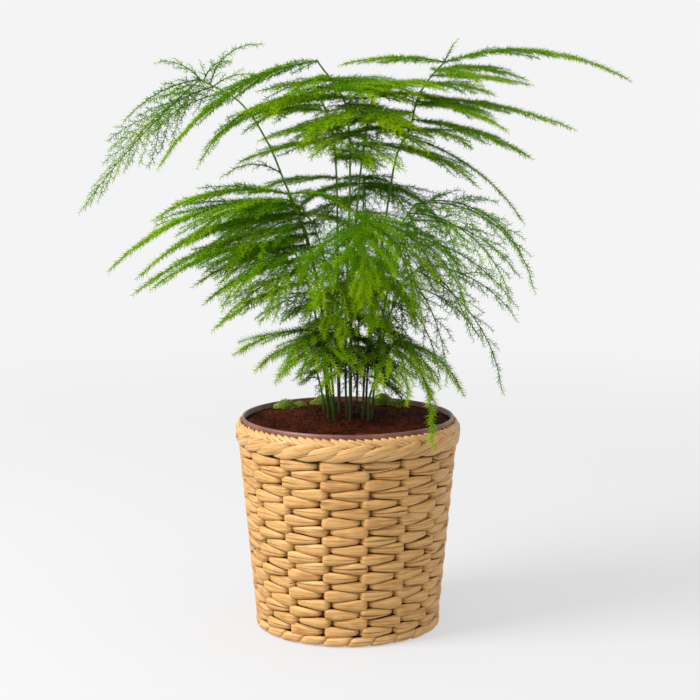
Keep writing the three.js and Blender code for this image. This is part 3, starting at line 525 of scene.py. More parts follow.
def weave_tree(name, heights, bulges, material, sides=10, steps=11):
    """Strands laid round the basket in rows. Each strand is a flattened rod: heights gives its half
    width and bulges how far it stands out, from its head to its tail. Rows may lean their strands
    to alternate hands, and the rows climb along a line that leans out from the axis."""
    sizes = {
        "Rows": 1, "Strands": 16, "Row height": 0.0, "Half width": 0.0, "Half thickness": 0.0,
        "Bulge": 0.0, "Start": 0.0, "Length": 1.0, "Slant": 0.0, "Shear": 0.0, "Alternate": 0.0,
        "Radius": 0.0, "Bottom": 0.0, "Lean": 0.0, "Turn": 0.0, "Unevenness": 0.0}
    tree, size = new_tree(name, sizes)
    index = add(tree, "GeometryNodeInputIndex")
    count = add(tree, MATH, size["Rows"], size["Strands"], operation="MULTIPLY")
    points = add(tree, "GeometryNodePoints", {"Count": count})
    over = add(tree, MATH, index, size["Strands"], operation="DIVIDE")
    row = add(tree, MATH, over, operation="FLOOR")
    before = add(tree, MATH, row, size["Strands"], operation="MULTIPLY")
    column = add(tree, MATH, index, before, operation="SUBTRACT")
    odd = add(tree, MATH, row, 2.0, operation="MODULO")
    swap = add(tree, MATH, odd, size["Alternate"], operation="MULTIPLY")
    hand = add(tree, MATH, swap, -2.0, 1.0, operation="MULTIPLY_ADD")
    kept = {"row": row, "column": column, "hand": hand}
    for i, label in enumerate(("own width", "own lift", "own end", "tone")):
        kept[label] = add(tree, RANDOM, {
            2: 0.0 if label == "tone" else -1.0, 3: 1.0, "ID": index, "Seed": i + 1}).outputs[1]
    placed = points
    for label, value in kept.items():
        placed = add(tree, STORE, {"Geometry": placed, "Name": label, "Value": value})
    rod = add(tree, "GeometryNodeMeshCylinder", {
        "Vertices": sides, "Side Segments": steps, "Radius": 1.0, "Depth": 1.0})
    here = add(tree, "GeometryNodeInputPosition")
    marked = add(tree, STORE, {
        "Geometry": rod, "Name": "section", "Value": here}, data_type="FLOAT_VECTOR")
    strands = add(tree, "GeometryNodeInstanceOnPoints", {"Points": placed, "Instance": marked})
    real = add(tree, REALIZE, {"Geometry": strands})
    read = {label: add(tree, READ, {"Name": label}) for label in kept}
    section = add(tree, READ, {"Name": "section"}, data_type="FLOAT_VECTOR")
    part = add(tree, "ShaderNodeSeparateXYZ", {"Vector": section})
    along = add(tree, MATH, part.outputs["Z"], 0.5, operation="ADD")
    tall = shape_curve(add(tree, "ShaderNodeFloatCurve", {"Value": along}), heights)
    proud = shape_curve(add(tree, "ShaderNodeFloatCurve", {"Value": along}), bulges)
    bulk = add(tree, MATH, read["own width"], size["Unevenness"], 1.0, operation="MULTIPLY_ADD")
    reach = add(tree, MATH, tall, bulk, operation="MULTIPLY")
    half = add(tree, MATH, reach, size["Half width"], operation="MULTIPLY")
    across = add(tree, MATH, part.outputs["X"], half, operation="MULTIPLY")
    level = add(tree, MATH, read["row"], 0.5, operation="ADD")
    middle = add(tree, MATH, level, size["Row height"], across, operation="MULTIPLY_ADD")
    past = add(tree, MATH, along, -0.5, operation="ADD")
    slanted = add(tree, MATH, past, size["Slant"], middle, operation="MULTIPLY_ADD")
    wander = add(tree, MATH, size["Unevenness"], size["Half width"], operation="MULTIPLY")
    climb = add(tree, MATH, read["own lift"], wander, slanted, operation="MULTIPLY_ADD")
    flat = add(tree, MATH, part.outputs["Y"], operation="ABSOLUTE")
    boxed = add(tree, MATH, flat, 0.55, operation="POWER")
    side = add(tree, MATH, part.outputs["Y"], operation="SIGN")
    thick = add(tree, MATH, boxed, side, operation="MULTIPLY")
    deep = add(tree, MATH, thick, size["Half thickness"], operation="MULTIPLY")
    out = add(tree, MATH, proud, size["Bulge"], deep, operation="MULTIPLY_ADD")
    stride = add(tree, MATH, along, size["Length"], size["Start"], operation="MULTIPLY_ADD")
    cut = add(tree, MATH, part.outputs["X"], size["Shear"], stride, operation="MULTIPLY_ADD")
    slip = add(tree, MATH, size["Unevenness"], 0.3, operation="MULTIPLY")
    ended = add(tree, MATH, read["own end"], slip, cut, operation="MULTIPLY_ADD")
    handed = add(tree, MATH, ended, read["hand"], read["column"], operation="MULTIPLY_ADD")
    step = add(tree, MATH, TURN, size["Strands"], operation="DIVIDE")
    angle = add(tree, MATH, handed, step, size["Turn"], operation="MULTIPLY_ADD")
    sine = add(tree, MATH, size["Lean"], operation="SINE")
    cosine = add(tree, MATH, size["Lean"], operation="COSINE")
    outward = add(tree, MATH, climb, sine, size["Radius"], operation="MULTIPLY_ADD")
    radius = add(tree, MATH, out, cosine, outward, operation="MULTIPLY_ADD")
    upward = add(tree, MATH, climb, cosine, size["Bottom"], operation="MULTIPLY_ADD")
    drop = add(tree, MATH, out, sine, operation="MULTIPLY")
    height = add(tree, MATH, upward, drop, operation="SUBTRACT")
    right = add(tree, MATH, angle, operation="SINE")
    ahead = add(tree, MATH, angle, operation="COSINE")
    x = add(tree, MATH, radius, right, operation="MULTIPLY")
    y = add(tree, MATH, radius, ahead, operation="MULTIPLY")
    back = add(tree, MATH, y, -1.0, operation="MULTIPLY")
    place = add(tree, "ShaderNodeCombineXYZ", x, back, height)
    arc = add(tree, MATH, step, size["Length"], operation="MULTIPLY")
    run = add(tree, MATH, arc, size["Radius"], operation="MULTIPLY")
    lengthwise = add(tree, MATH, along, run, operation="MULTIPLY")
    crosswise = add(tree, MATH, part.outputs["X"], size["Half width"], operation="MULTIPLY")
    fibre = add(tree, "ShaderNodeCombineXYZ", lengthwise, crosswise, read["tone"])
    laid = add(tree, STORE, {
        "Geometry": real, "Name": "fibre", "Value": fibre}, data_type="FLOAT_VECTOR")
    moved = add(tree, "GeometryNodeSetPosition", {"Geometry": laid, "Position": place})
    return end_tree(tree, moved, material)


def make_basket_wall(strand, shaded_weave):
    """Countered twining: wide heads over the stakes and narrow tails tucked behind the next head,
    with the hand changing from row to row."""
    bottom = FOOT_HEIGHT + 0.3 * MM
    top = RIM_BOTTOM - 0.3 * MM
    rise = top - bottom
    lean = math.atan2(SHOULDER_RADIUS - FOOT_RADIUS, SHOULDER_HEIGHT - FOOT_HEIGHT)
    half_thickness = 2.1 * MM
    bulge = 1.3 * MM
    tree = weave_tree("twined_row", [
        (0, 0.8), (0.03, 1.12), (0.1, 1.28), (0.26, 1.28), (0.6, 1.0), (0.92, 0.7), (1, 0.6)], [
        (0, -3.2), (0.03, -0.2), (0.1, 0.9), (0.3, 0.9), (0.65, 0.4), (0.9, -0.3), (1, -2.4)], strand)
    row_height = rise / math.cos(lean) / ROWS
    wall = grow("basket_wall_strands", tree, {
        "Rows": ROWS, "Strands": STAKES, "Row height": row_height, "Half width": row_height / 2,
        "Half thickness": half_thickness, "Bulge": bulge, "Start": -0.12, "Length": 0.985,
        "Alternate": 1.0, "Radius": FOOT_RADIUS - half_thickness - bulge, "Bottom": bottom,
        "Lean": lean, "Turn": STAKE_FROM_FRONT, "Unevenness": 0.09})
    # A dark liner behind the strands: a sheet in painted shade, seen through the gaps between them
    deep = 5.2 * MM
    liner = turned("basket_shade_liner", [
        (FOOT_RADIUS - deep, bottom), (SHOULDER_RADIUS - deep, top),
        (SHOULDER_RADIUS - WALL_THICKNESS, top), (FOOT_RADIUS - WALL_THICKNESS, bottom)], 96, shaded_weave)
    return wall, liner


def make_basket_rim(strand):
    """Rolled border: long strands lean up to the right in its lower band, and fine ones fold back
    over the edge in its upper band."""
    lower = weave_tree("border_strand", [
        (0, 0.15), (0.15, 0.6), (0.4, 1.0), (0.7, 1.04), (0.9, 0.9), (1, 0.6)], [
        (0, -0.8), (0.15, 0.3), (0.4, 0.9), (0.65, 1), (0.85, 0.4), (1, -1.4)], strand, steps=18)
    band = grow("basket_rim_lower", lower, {
        "Strands": 26, "Row height": 15.6 * MM, "Half width": 5.6 * MM,
        "Half thickness": 1.9 * MM, "Bulge": 1.6 * MM, "Length": 2.0,
        "Slant": 11.5 * MM, "Radius": 95.6 * MM, "Bottom": RIM_BOTTOM - 0.4 * MM, "Lean": 0.06,
        "Unevenness": 0.07})
    upper = weave_tree("border_fold", [
        (0, 0.8), (0.2, 1.0), (0.6, 1), (0.85, 0.8), (1, 0.4)], [
        (0, -0.6), (0.2, 0.5), (0.5, 1), (0.8, 0.5), (1, -1.6)], strand, sides=8, steps=10)
    fold = grow("basket_rim_upper", upper, {
        "Strands": 84, "Row height": 8.0 * MM, "Half width": 2.9 * MM,
        "Half thickness": 1.3 * MM, "Bulge": 0.6 * MM, "Length": 2.1,
        "Slant": -5.0 * MM, "Radius": 98.0 * MM, "Bottom": 177.6 * MM, "Lean": -0.36,
        "Unevenness": 0.1})
    return band, fold


def make_foot_braid(strand):
    """One row of short slanting strands that the basket stands on."""
    tree = weave_tree("foot_strand", [
        (0, 0.8), (0.08, 1), (0.5, 1.06), (0.92, 1), (1, 0.8)], [
        (0, -1.6), (0.1, 0.7), (0.5, 1), (0.88, 0.6), (1, -1.8)], strand, sides=8, steps=8)
    return grow("foot_braid_strands", tree, {
        "Strands": 24, "Row height": FOOT_HEIGHT, "Half width": 4.2 * MM,
        "Half thickness": 2.3 * MM, "Bulge": 0.8 * MM, "Length": 1.08,
        "Slant": 0.6 * MM, "Shear": 0.14, "Radius": FOOT_RADIUS - 3.3 * MM, "Bottom": 0.55 * MM,
        "Lean": 0.05, "Unevenness": 0.06})


def make_basket_floor(strand, shaded_weave):
    """Woven underside: rings of strands over the spokes, and a plain board of stalk above them."""
    tree = weave_tree("floor_strand", [
        (0, 0.4), (0.15, 1), (0.5, 1.1), (0.85, 1), (1, 0.4)], [
        (0, -1), (0.2, 0.5), (0.5, 1), (0.8, 0.5), (1, -1)], strand, sides=6, steps=6)
    rings = 8
    ring_width = 8.2 * MM
    inner = 5 * MM
    under = 2.4 * MM
    weave = grow("basket_floor_strands", tree, {
        "Rows": rings, "Strands": STAKES, "Row height": ring_width, "Half width": ring_width / 2,
        "Half thickness": 1.3 * MM, "Bulge": 0.7 * MM, "Length": 1.04,
        "Alternate": 1.0, "Radius": inner, "Bottom": 2.2 * MM, "Lean": math.pi / 2,
        "Turn": STAKE_FROM_FRONT, "Unevenness": 0.06})
    # The board wears the same dark painted-shade material as the liner
    board = turned("basket_floor_board", [
        (0, under), (FLOOR_RADIUS, under), (FLOOR_RADIUS, FLOOR_TOP), (0, FLOOR_TOP)], 96, shaded_weave)
    return weave, board


def make_pot(plastic):
    """The pot's wall, floor and rolled lip, its edges rounded as a mould leaves them."""
    round_edge = 0.5 * MM
    neck = POT_LIP_BOTTOM
    bore = POT_NECK_RADIUS - POT_WALL
    return turned("nursery_pot", [
        (0, POT_FLOOR), (POT_FLOOR_RADIUS - 2 * MM, POT_FLOOR), (POT_FLOOR_RADIUS, POT_FLOOR + 2 * MM),
        (POT_NECK_RADIUS, neck), (POT_LIP_RADIUS - round_edge, neck),
        (POT_LIP_RADIUS, neck + round_edge), (POT_LIP_RADIUS, POT_LIP_TOP - 2 * round_edge),
        (POT_LIP_RADIUS - round_edge, POT_LIP_TOP - 0.3 * round_edge),
        (POT_LIP_RADIUS - 2 * round_edge, POT_LIP_TOP),
        (POT_LIP_INNER_RADIUS + round_edge, POT_LIP_TOP),
        (POT_LIP_INNER_RADIUS, POT_LIP_TOP - round_edge),
        (POT_LIP_INNER_RADIUS, neck + 3 * MM), (bore, neck - 2 * MM),
        (POT_FLOOR_RADIUS - POT_WALL, POT_FLOOR + POT_WALL), (0, POT_FLOOR + POT_WALL)], 128, plastic)


def soil_top(x, y):
    """Height of the soil: mounded towards the crown, uneven in beds and clods."""
    share = math.hypot(x, y) / SOIL_RADIUS
    beds = noise.noise(Vector((x, y, 0.3)) * 38) * 2.2 * MM
    clods = noise.noise(Vector((x, y, 0.7)) * 150) * 1.1 * MM
    return SOIL_EDGE_TOP + SOIL_MOUND * (1 - share * share) + (beds + clods) * (1 - share ** 6)


def make_soil(mix):
    """The body of the soil, and the crumbs and bark bits that lie loose on it."""
    rings = 28
    below_top = SOIL_EDGE_TOP - 1.4 * MM
    outline = [(0, SOIL_BOTTOM), (SOIL_FOOT_RADIUS, SOIL_BOTTOM), SOIL_NECK]
    outline += [(SOIL_RADIUS * (1 - i / rings), SOIL_EDGE_TOP) for i in range(rings)]
    outline.append((0, SOIL_EDGE_TOP))
    body = turned("soil_body", outline, 96, mix)
    for vert in body.data.vertices:
        if vert.co.z > below_top:
            vert.co.z = soil_top(vert.co.x, vert.co.y)
    tree, size = new_tree("soil_crumbs", {"Density": 0.0, "Smallest": 0.0, "Largest": 0.0, "Seed": 1})
    here = add(tree, "GeometryNodeInputPosition")
    height = add(tree, "ShaderNodeSeparateXYZ", {"Vector": here}).outputs["Z"]
    top = add(tree, COMPARE, height, below_top, operation="GREATER_THAN")
    spots = add(tree, "GeometryNodeDistributePointsOnFaces", {
        "Mesh": size["Geometry"], "Selection": top, "Density": size["Density"], "Seed": size["Seed"]})
    crumb = add(tree, "GeometryNodeMeshIcoSphere", {"Radius": 1.0, "Subdivisions": 1})
    girth = add(tree, RANDOM, {2: size["Smallest"], 3: size["Largest"], "Seed": 3})
    stretch = add(tree, RANDOM, {
        0: (0.6, 0.6, 0.4), 1: (1.5, 1.0, 0.9), "Seed": 4}, data_type="FLOAT_VECTOR")
    scale = add(tree, VECTOR, {0: stretch, "Scale": girth.outputs[1]}, operation="SCALE")
    spin = add(tree, RANDOM, {
        0: (0, 0, 0), 1: (TURN, TURN, TURN), "Seed": 5}, data_type="FLOAT_VECTOR")
    crumbs = add(tree, "GeometryNodeInstanceOnPoints", {
        "Points": spots, "Instance": crumb, "Rotation": spin, "Scale": scale})
    end_tree(tree, crumbs, mix, smooth=False)
    loose = grow("soil_crumbs", tree, {
        "Density": 44000.0, "Smallest": 0.45 * MM, "Largest": 1.25 * MM, "Seed": 7}, body.data.copy())
    return body, loose


def moss_tree(moss):
    """Grows a cushion from its centre points: soft lumps that run together, set with tiny leaves."""
    tree, size = new_tree("moss_cushion", {
        "Leaf length": 0.0, "Leaf radius": 0.0, "Leaves per area": 0.0, "Roughness": 0.0, "Seed": 1})
    girth = add(tree, READ, {"Name": "girth"})
    ball = add(tree, "GeometryNodeMeshIcoSphere", {"Radius": 1.0, "Subdivisions": 3})
    squat = add(tree, VECTOR, {0: (1.0, 1.0, 0.85), "Scale": girth}, operation="SCALE")
    lumps = add(tree, "GeometryNodeInstanceOnPoints", {
        "Points": size["Geometry"], "Instance": ball, "Scale": squat})
    lumps = add(tree, REALIZE, {"Geometry": lumps})
    grain = add(tree, NOISE, {"Scale": 320.0, "Detail": 2.0})
    swell = add(tree, MATH, grain, 0.5, operation="SUBTRACT")
    swell = add(tree, MATH, swell, size["Roughness"], operation="MULTIPLY")
    normal = add(tree, "GeometryNodeInputNormal")
    push = add(tree, VECTOR, {0: normal, "Scale": swell}, operation="SCALE")
    body = add(tree, "GeometryNodeSetPosition", {"Geometry": lumps, "Offset": push})
    spots = add(tree, "GeometryNodeDistributePointsOnFaces", {
        "Mesh": body, "Density": size["Leaves per area"], "Seed": size["Seed"]})
    blade = add(tree, "GeometryNodeMeshCone", SPIKE)
    here = add(tree, "GeometryNodeInputPosition")
    height = add(tree, "ShaderNodeSeparateXYZ", {"Vector": here}).outputs["Z"]
    blade = add(tree, STORE, {"Geometry": blade, "Name": "tip", "Value": height})
    lean = add(tree, RANDOM, {
        0: (-0.7, -0.7, -0.1), 1: (0.7, 0.7, 0.7), "Seed": 2}, data_type="FLOAT_VECTOR")
    way = add(tree, VECTOR, spots.outputs["Normal"], lean, operation="ADD")
    aim = add(tree, AIM, {
        "Primary Axis": way, "Secondary Axis": (0.3, 0.9, 0.1)}, primary_axis="Z", secondary_axis="X")
    own = add(tree, RANDOM, {2: 0.6, 3: 1.3, "Seed": 3})
    girth = size["Leaf radius"]
    shape = add(tree, "ShaderNodeCombineXYZ", girth, girth, size["Leaf length"])
    shape = add(tree, VECTOR, {0: shape, "Scale": own.outputs[1]}, operation="SCALE")
    leaves = add(tree, "GeometryNodeInstanceOnPoints", {
        "Points": spots, "Instance": blade, "Rotation": aim, "Scale": shape})
    whole = add(tree, JOIN, {"Geometry": leaves})
    tree.links.new(body.outputs[0], whole.inputs[0])
    return end_tree(tree, whole, moss)


def make_moss(name, tree, x, y, half_width, height, seed):
    """One cushion on the soil's back edge, with smaller lumps round its middle."""
    middle = Vector((x, y)) * MM
    girth = half_width * MM
    spots, girths = [], []
    for i in range(7):
        turn = TURN * (i + 0.3 * seed) / 6
        away = 0.0 if i == 6 else girth * (0.75 + 0.2 * math.sin(3 * i + seed))
        own = girth if i == 6 else girth * (0.5 + 0.12 * math.cos(2 * i + seed))
        place = middle + away * Vector((math.cos(turn) * 1.3, math.sin(turn) * 0.7))
        lift = (height - 6.5) * MM if i == 6 else 0
        spots.append((place.x, place.y, soil_top(place.x, place.y) - 0.15 * own + lift))
        girths.append(own)
    mesh = bpy.data.meshes.new(name + "_centres")
    mesh.from_pydata(spots, [], [])
    mesh.attributes.new("girth", "FLOAT", "POINT").data.foreach_set("value", girths)
    return grow(name + "_leaves", tree, {
        "Leaf length": 1.5 * MM, "Leaf radius": 0.3 * MM, "Leaves per area": 1.1e6,
        "Roughness": 2.4 * MM, "Seed": seed}, mesh)


def smooth_line(knots, count):
    """Evenly spaced points on a centripetal curve through the knots."""
    knots = [Vector(knot) for knot in knots]
    padded = [2 * knots[0] - knots[1], *knots, 2 * knots[-1] - knots[-2]]
    line = [knots[0]]
    for x0, x1, x2, x3 in zip(padded, padded[1:], padded[2:], padded[3:]):
        dt0, dt1, dt2 = ((b - a).length ** 0.5 for a, b in ((x0, x1), (x1, x2), (x2, x3)))
        leave = ((x1 - x0) / dt0 - (x2 - x0) / (dt0 + dt1) + (x2 - x1) / dt1) * dt1
        arrive = ((x2 - x1) / dt1 - (x3 - x1) / (dt1 + dt2) + (x3 - x2) / dt2) * dt1
        for i in range(1, 25):
            t = i / 24
            line.append(x1 + leave * t + (3 * (x2 - x1) - 2 * leave - arrive) * t * t
                        + (2 * (x1 - x2) + leave + arrive) * t ** 3)
    lengths = [0.0]
    for a, b in zip(line, line[1:]):
        lengths.append(lengths[-1] + (b - a).length)
    spaced, k = [], 0
    for i in range(count + 1):
        goal = lengths[-1] * i / count
        while k < len(line) - 2 and lengths[k + 1] < goal:
            k += 1
        share = (goal - lengths[k]) / (lengths[k + 1] - lengths[k])
        spaced.append(line[k].lerp(line[k + 1], min(share, 1)))
    return spaced


def spray_path(start, heading, rise, droop, reach):
    """The line of a spray's core: its slope falls evenly from the rise by the droop."""
    points = [start]
    for i in range(SPRAY_STEPS):
        slope = math.radians(rise - droop * (i + 0.5) / SPRAY_STEPS)
        level = math.cos(slope)
        way = Vector((level * math.cos(heading), level * math.sin(heading), math.sin(slope)))
        points.append(points[-1] + way * reach / SPRAY_STEPS)
    return points


def frond_lines(freshness, stem, sprays, turned_by):
    """A frond's stem and spray cores as a mesh of edges, with what grows along them as attributes."""
    stem = [Vector(point) * MM for point in stem]
    steps = 60
    line = smooth_line(stem, steps)
    paths = [([line[0] - Vector((0, 0, ROOT_DEPTH)), *line], None)]
    for share, heading, rise, droop, reach, spread in sprays:
        place = share * steps
        k = min(int(place), steps - 1)
        start = line[k].lerp(line[k + 1], place - k)
        turn = math.radians(heading)
        path = smooth_line(spray_path(start, turn, rise, droop, reach * MM), 24)
        paths.append((path, (turn, spread * MM)))
    verts, edges, spread_at, girth, side, share_at = [], [], [], [], [], []
    for path, spray in paths:
        last = len(path) - 1
        edges += [(len(verts) + i, len(verts) + i + 1) for i in range(last)]
        verts += path
        for i in range(last + 1):
            share = i / last
            share_at.append(share)
            if spray is None:
                spread_at.append(0.0)
                girth.append(STEM_RADIUS + (STEM_TIP_RADIUS - STEM_RADIUS) * share)
                side.append((0, 0, 0))
            else:
                wide = 0.55 + 1.8 * share if share < 0.25 else 1 - 0.9 * (share - 0.25) / 0.75
                spread_at.append(spray[1] * wide)
                girth.append(SPRAY_RADIUS + (SPRAY_TIP_RADIUS - SPRAY_RADIUS) * share)
                ahead = (path[min(i + 1, last)] - path[max(i - 1, 0)]).normalized()
                level = Vector((-math.sin(spray[0]), math.cos(spray[0]), 0))
                side.append(level * math.cos(turned_by) + ahead.cross(level) * math.sin(turned_by))
    mesh = bpy.data.meshes.new("frond_lines")
    mesh.from_pydata(verts, edges, [])
    grown = {
        "spread": spread_at, "girth": girth, "share": share_at, "fresh": [freshness] * len(verts)}
    for label, values in grown.items():
        mesh.attributes.new(label, "FLOAT", "POINT").data.foreach_set("value", values)
    sideways = [value for vector in side for value in vector]
    mesh.attributes.new("side", "FLOAT_VECTOR", "POINT").data.foreach_set("vector", sideways)
    return mesh


def leaned(tree, along, *leans):
    """A direction along a stalk, leaned over by each (direction, amount) in turn."""
    for direction, amount in leans:
        lean = add(tree, VECTOR, {0: direction, "Scale": amount}, operation="SCALE")
        along = add(tree, VECTOR, along, lean, operation="ADD")
    return along


def sprout(tree, points, roots, shoot, way, length, chosen=True):
    """Sets a shoot that points its own way on each chosen point along the roots, and marks how far
    along its shoot each place lies."""
    aim = add(tree, AIM, {"Primary Axis": way, "Secondary Axis": roots.outputs["Tangent"]},
              primary_axis="X", secondary_axis="Y")
    shoots = add(tree, "GeometryNodeInstanceOnPoints", {
        "Points": points, "Selection": chosen, "Instance": shoot, "Rotation": aim, "Scale": length})
    real = add(tree, REALIZE, {"Geometry": shoots})
    progress = add(tree, "GeometryNodeSplineParameter").outputs["Factor"]
    return add(tree, STORE, {"Geometry": real, "Name": "factor", "Value": progress})


def frond_tree(needles, stem):
    """Grows branchlets both ways along each spray, finer ones along those, and needles on them all."""
    tree, size = new_tree("frond_growth", {
        "Branchlet pitch": 0.0, "Widening": 1.0, "Twig pitch": 0.0, "Needle pitch": 0.0,
        "Needle length": 0.0, "Needle radius": 0.0, "Branchlet radius": 0.0, "Twig radius": 0.0,
        "Longest twig": 0.0, "Standing out": 1.0, "Unevenness": 1.0, "Seed": 1})
    read = {
        label: add(tree, READ, {"Name": label})
        for label in ("spread", "girth", "share", "long", "factor")}
    side, over = (
        add(tree, READ, {"Name": label}, data_type="FLOAT_VECTOR") for label in ("side", "over"))
    index = add(tree, "GeometryNodeInputIndex")
    random = {}
    for i, (label, low, high) in enumerate((
            ("reach", 0.7, 1.25), ("lean", -0.14, 0.14), ("tilt", -0.18, 0.18),
            ("tone", 0.0, 1.0), ("twig", 0.2, 0.5), ("twig tilt", -0.45, 0.35),
            ("splay", 0.9, 1.9), ("needle", 0.65, 1.1))):
        seed = add(tree, MATH, size["Seed"], 10.0, i, operation="MULTIPLY_ADD")
        random[label] = add(tree, RANDOM, {2: low, 3: high, "Seed": seed}).outputs[1]
    lines = add(tree, "GeometryNodeMeshToCurve", {"Mesh": size["Geometry"]})
    lines = add(tree, STORE, {"Geometry": lines, "Name": "tip", "Value": read["share"]})
    ring = add(tree, "GeometryNodeCurvePrimitiveCircle", {"Resolution": 6, "Radius": 1.0})
    stalks = add(tree, "GeometryNodeCurveToMesh", {
        "Curve": lines, "Profile Curve": ring, "Scale": read["girth"], "Fill Caps": True})
    skin = add(tree, "GeometryNodeSetMaterial", {"Geometry": stalks, "Material": stem})

    leafy = add(tree, COMPARE, read["spread"], 0.0001, operation="GREATER_THAN")
    sprays = add(tree, "GeometryNodeSeparateGeometry", {
        "Geometry": lines, "Selection": leafy}, domain="CURVE")
    roots = add(tree, PLACES, {"Curve": sprays, "Length": size["Branchlet pitch"]}, mode="LENGTH")
    parity = add(tree, MATH, index, 2.0, operation="MODULO")
    hand = add(tree, MATH, parity, 2.0, -1.0, operation="MULTIPLY_ADD")
    reach = add(tree, MATH, read["spread"], size["Widening"], operation="MULTIPLY")
    reach = add(tree, MATH, reach, random["reach"], operation="MULTIPLY")
    reach = add(tree, MATH, reach, size["Needle length"], operation="MAXIMUM")
    overhead = add(tree, VECTOR, roots.outputs["Tangent"], side, operation="CROSS_PRODUCT")
    closing = add(tree, MATH, read["share"], -0.4, 0.98, operation="MULTIPLY_ADD")
    lean = add(tree, MATH, closing, random["lean"], operation="ADD")
    ahead = add(tree, MATH, lean, operation="COSINE")
    aside = add(tree, MATH, lean, operation="SINE")
    aside = add(tree, MATH, aside, hand, operation="MULTIPLY")
    tilt = add(tree, MATH, random["tilt"], size["Unevenness"], operation="MULTIPLY")
    forward = add(tree, VECTOR, {0: roots.outputs["Tangent"], "Scale": ahead}, operation="SCALE")
    way = leaned(tree, forward, (side, aside), (overhead, tilt))
    carried = roots
    for label, value, kind in (("long", reach, "FLOAT"), ("over", overhead, "FLOAT_VECTOR"),
                               ("tone", random["tone"], "FLOAT")):
        carried = add(tree, STORE, {"Geometry": carried, "Name": label, "Value": value}, data_type=kind)
    bow = add(tree, "GeometryNodeCurveQuadraticBezier", {
        "Resolution": 6, "Start": (0, 0, 0), "Middle": (0.5, 0, 0), "End": (1, 0.26, 0)})
    branchlets = sprout(tree, carried, roots, bow, way, reach)
    bend = add(tree, MATH, read["factor"], 2.0, operation="POWER")
    bend = add(tree, MATH, bend, read["long"], operation="MULTIPLY")
    sag = add(tree, MATH, bend, -0.1, operation="MULTIPLY")
    down = add(tree, "ShaderNodeCombineXYZ", {"Z": sag})
    branchlets = add(tree, "GeometryNodeSetPosition", {"Geometry": branchlets, "Offset": down})

    buds = add(tree, PLACES, {"Curve": branchlets, "Length": size["Twig pitch"]}, mode="LENGTH")
    left = add(tree, MATH, read["factor"], -0.8, 1.0, operation="MULTIPLY_ADD")
    twig = add(tree, MATH, read["long"], left, operation="MULTIPLY")
    twig = add(tree, MATH, twig, random["twig"], operation="MULTIPLY")
    twig = add(tree, MATH, twig, size["Longest twig"], operation="MINIMUM")
    worth = add(tree, COMPARE, twig, SHORTEST_TWIG, operation="GREATER_THAN")
    across = add(tree, VECTOR, over, buds.outputs["Tangent"], operation="CROSS_PRODUCT")
    aside = add(tree, MATH, hand, 0.8, operation="MULTIPLY")
    tilt = add(tree, MATH, random["twig tilt"], size["Unevenness"], operation="MULTIPLY")
    way = leaned(tree, buds.outputs["Tangent"], (across, aside), (over, tilt))
    sprig = add(tree, "GeometryNodeCurvePrimitiveLine", {"Start": (0, 0, 0), "End": (1, 0.1, 0)})
    twigs = sprout(tree, buds, buds, sprig, way, twig, worth)

    fine = add(tree, "GeometryNodeCurvePrimitiveCircle", {"Resolution": 3, "Radius": 1.0})
    taper = add(tree, MATH, read["factor"], -0.5, 1.0, operation="MULTIPLY_ADD")
    foliage = add(tree, JOIN)
    for curves, label in ((branchlets, "Branchlet radius"), (twigs, "Twig radius")):
        girth = add(tree, MATH, taper, size[label], operation="MULTIPLY")
        rod = add(tree, "GeometryNodeCurveToMesh", {
            "Curve": curves, "Profile Curve": fine, "Scale": girth, "Fill Caps": True})
        tree.links.new(rod.outputs[0], foliage.inputs[0])

    bearing = add(tree, JOIN)
    for curves in (sprays, branchlets, twigs):
        tree.links.new(curves.outputs[0], bearing.inputs[0])
    places = add(tree, PLACES, {"Curve": bearing, "Length": size["Needle pitch"]}, mode="LENGTH")
    tangent = places.outputs["Tangent"]
    golden = add(tree, MATH, index, GOLDEN_ANGLE, operation="MULTIPLY")
    outward = add(tree, "ShaderNodeVectorRotate", {
        "Vector": places.outputs["Normal"], "Axis": tangent, "Angle": golden},
        rotation_type="AXIS_ANGLE")
    splay = add(tree, MATH, random["splay"], size["Standing out"], operation="MULTIPLY")
    way = leaned(tree, tangent, (outward, splay))
    aim = add(tree, AIM, {"Primary Axis": way, "Secondary Axis": tangent},
              primary_axis="Z", secondary_axis="X")
    ageing = add(tree, MATH, read["factor"], -0.3, 1.0, operation="MULTIPLY_ADD")
    long = add(tree, MATH, size["Needle length"], random["needle"], operation="MULTIPLY")
    long = add(tree, MATH, long, ageing, operation="MULTIPLY")
    scale = add(tree, "ShaderNodeCombineXYZ", size["Needle radius"], size["Needle radius"], long)
    thorns = add(tree, "GeometryNodeInstanceOnPoints", {
        "Points": places, "Instance": add(tree, "GeometryNodeMeshCone", SPIKE), "Rotation": aim,
        "Scale": scale})
    tree.links.new(thorns.outputs[0], foliage.inputs[0])
    foliage = add(tree, REALIZE, {"Geometry": foliage})
    green = add(tree, "GeometryNodeSetMaterial", {"Geometry": foliage, "Material": needles})
    whole = add(tree, JOIN, {"Geometry": green})
    tree.links.new(skin.outputs[0], whole.inputs[0])
    smooth = add(tree, "GeometryNodeSetShadeSmooth", {"Geometry": whole, "Shade Smooth": True})
    add(tree, "NodeGroupOutput", {"Geometry": smooth})
    return tree


def make_frond(name, tree, seed, freshness, stem, sprays):
    """One stem with all that grows on it, by its own habit."""
    lines = frond_lines(freshness, stem, sprays, math.radians(TURNED.get(name, 0)))
    habit = GROWTH[HABIT.get(name, "plain")]
    branchlets, twigs, needles, longest, length, standing, unevenness, widening = habit
    return grow("frond_" + name + "_foliage", tree, {
        "Branchlet pitch": branchlets * MM, "Widening": widening, "Twig pitch": twigs * MM,
        "Longest twig": longest * MM, "Needle pitch": needles * MM, "Needle length": length * MM,
        "Needle radius": NEEDLE_RADIUS, "Branchlet radius": BRANCHLET_RADIUS,
        "Twig radius": TWIG_RADIUS, "Standing out": standing, "Unevenness": unevenness,
        "Seed": seed}, lines)


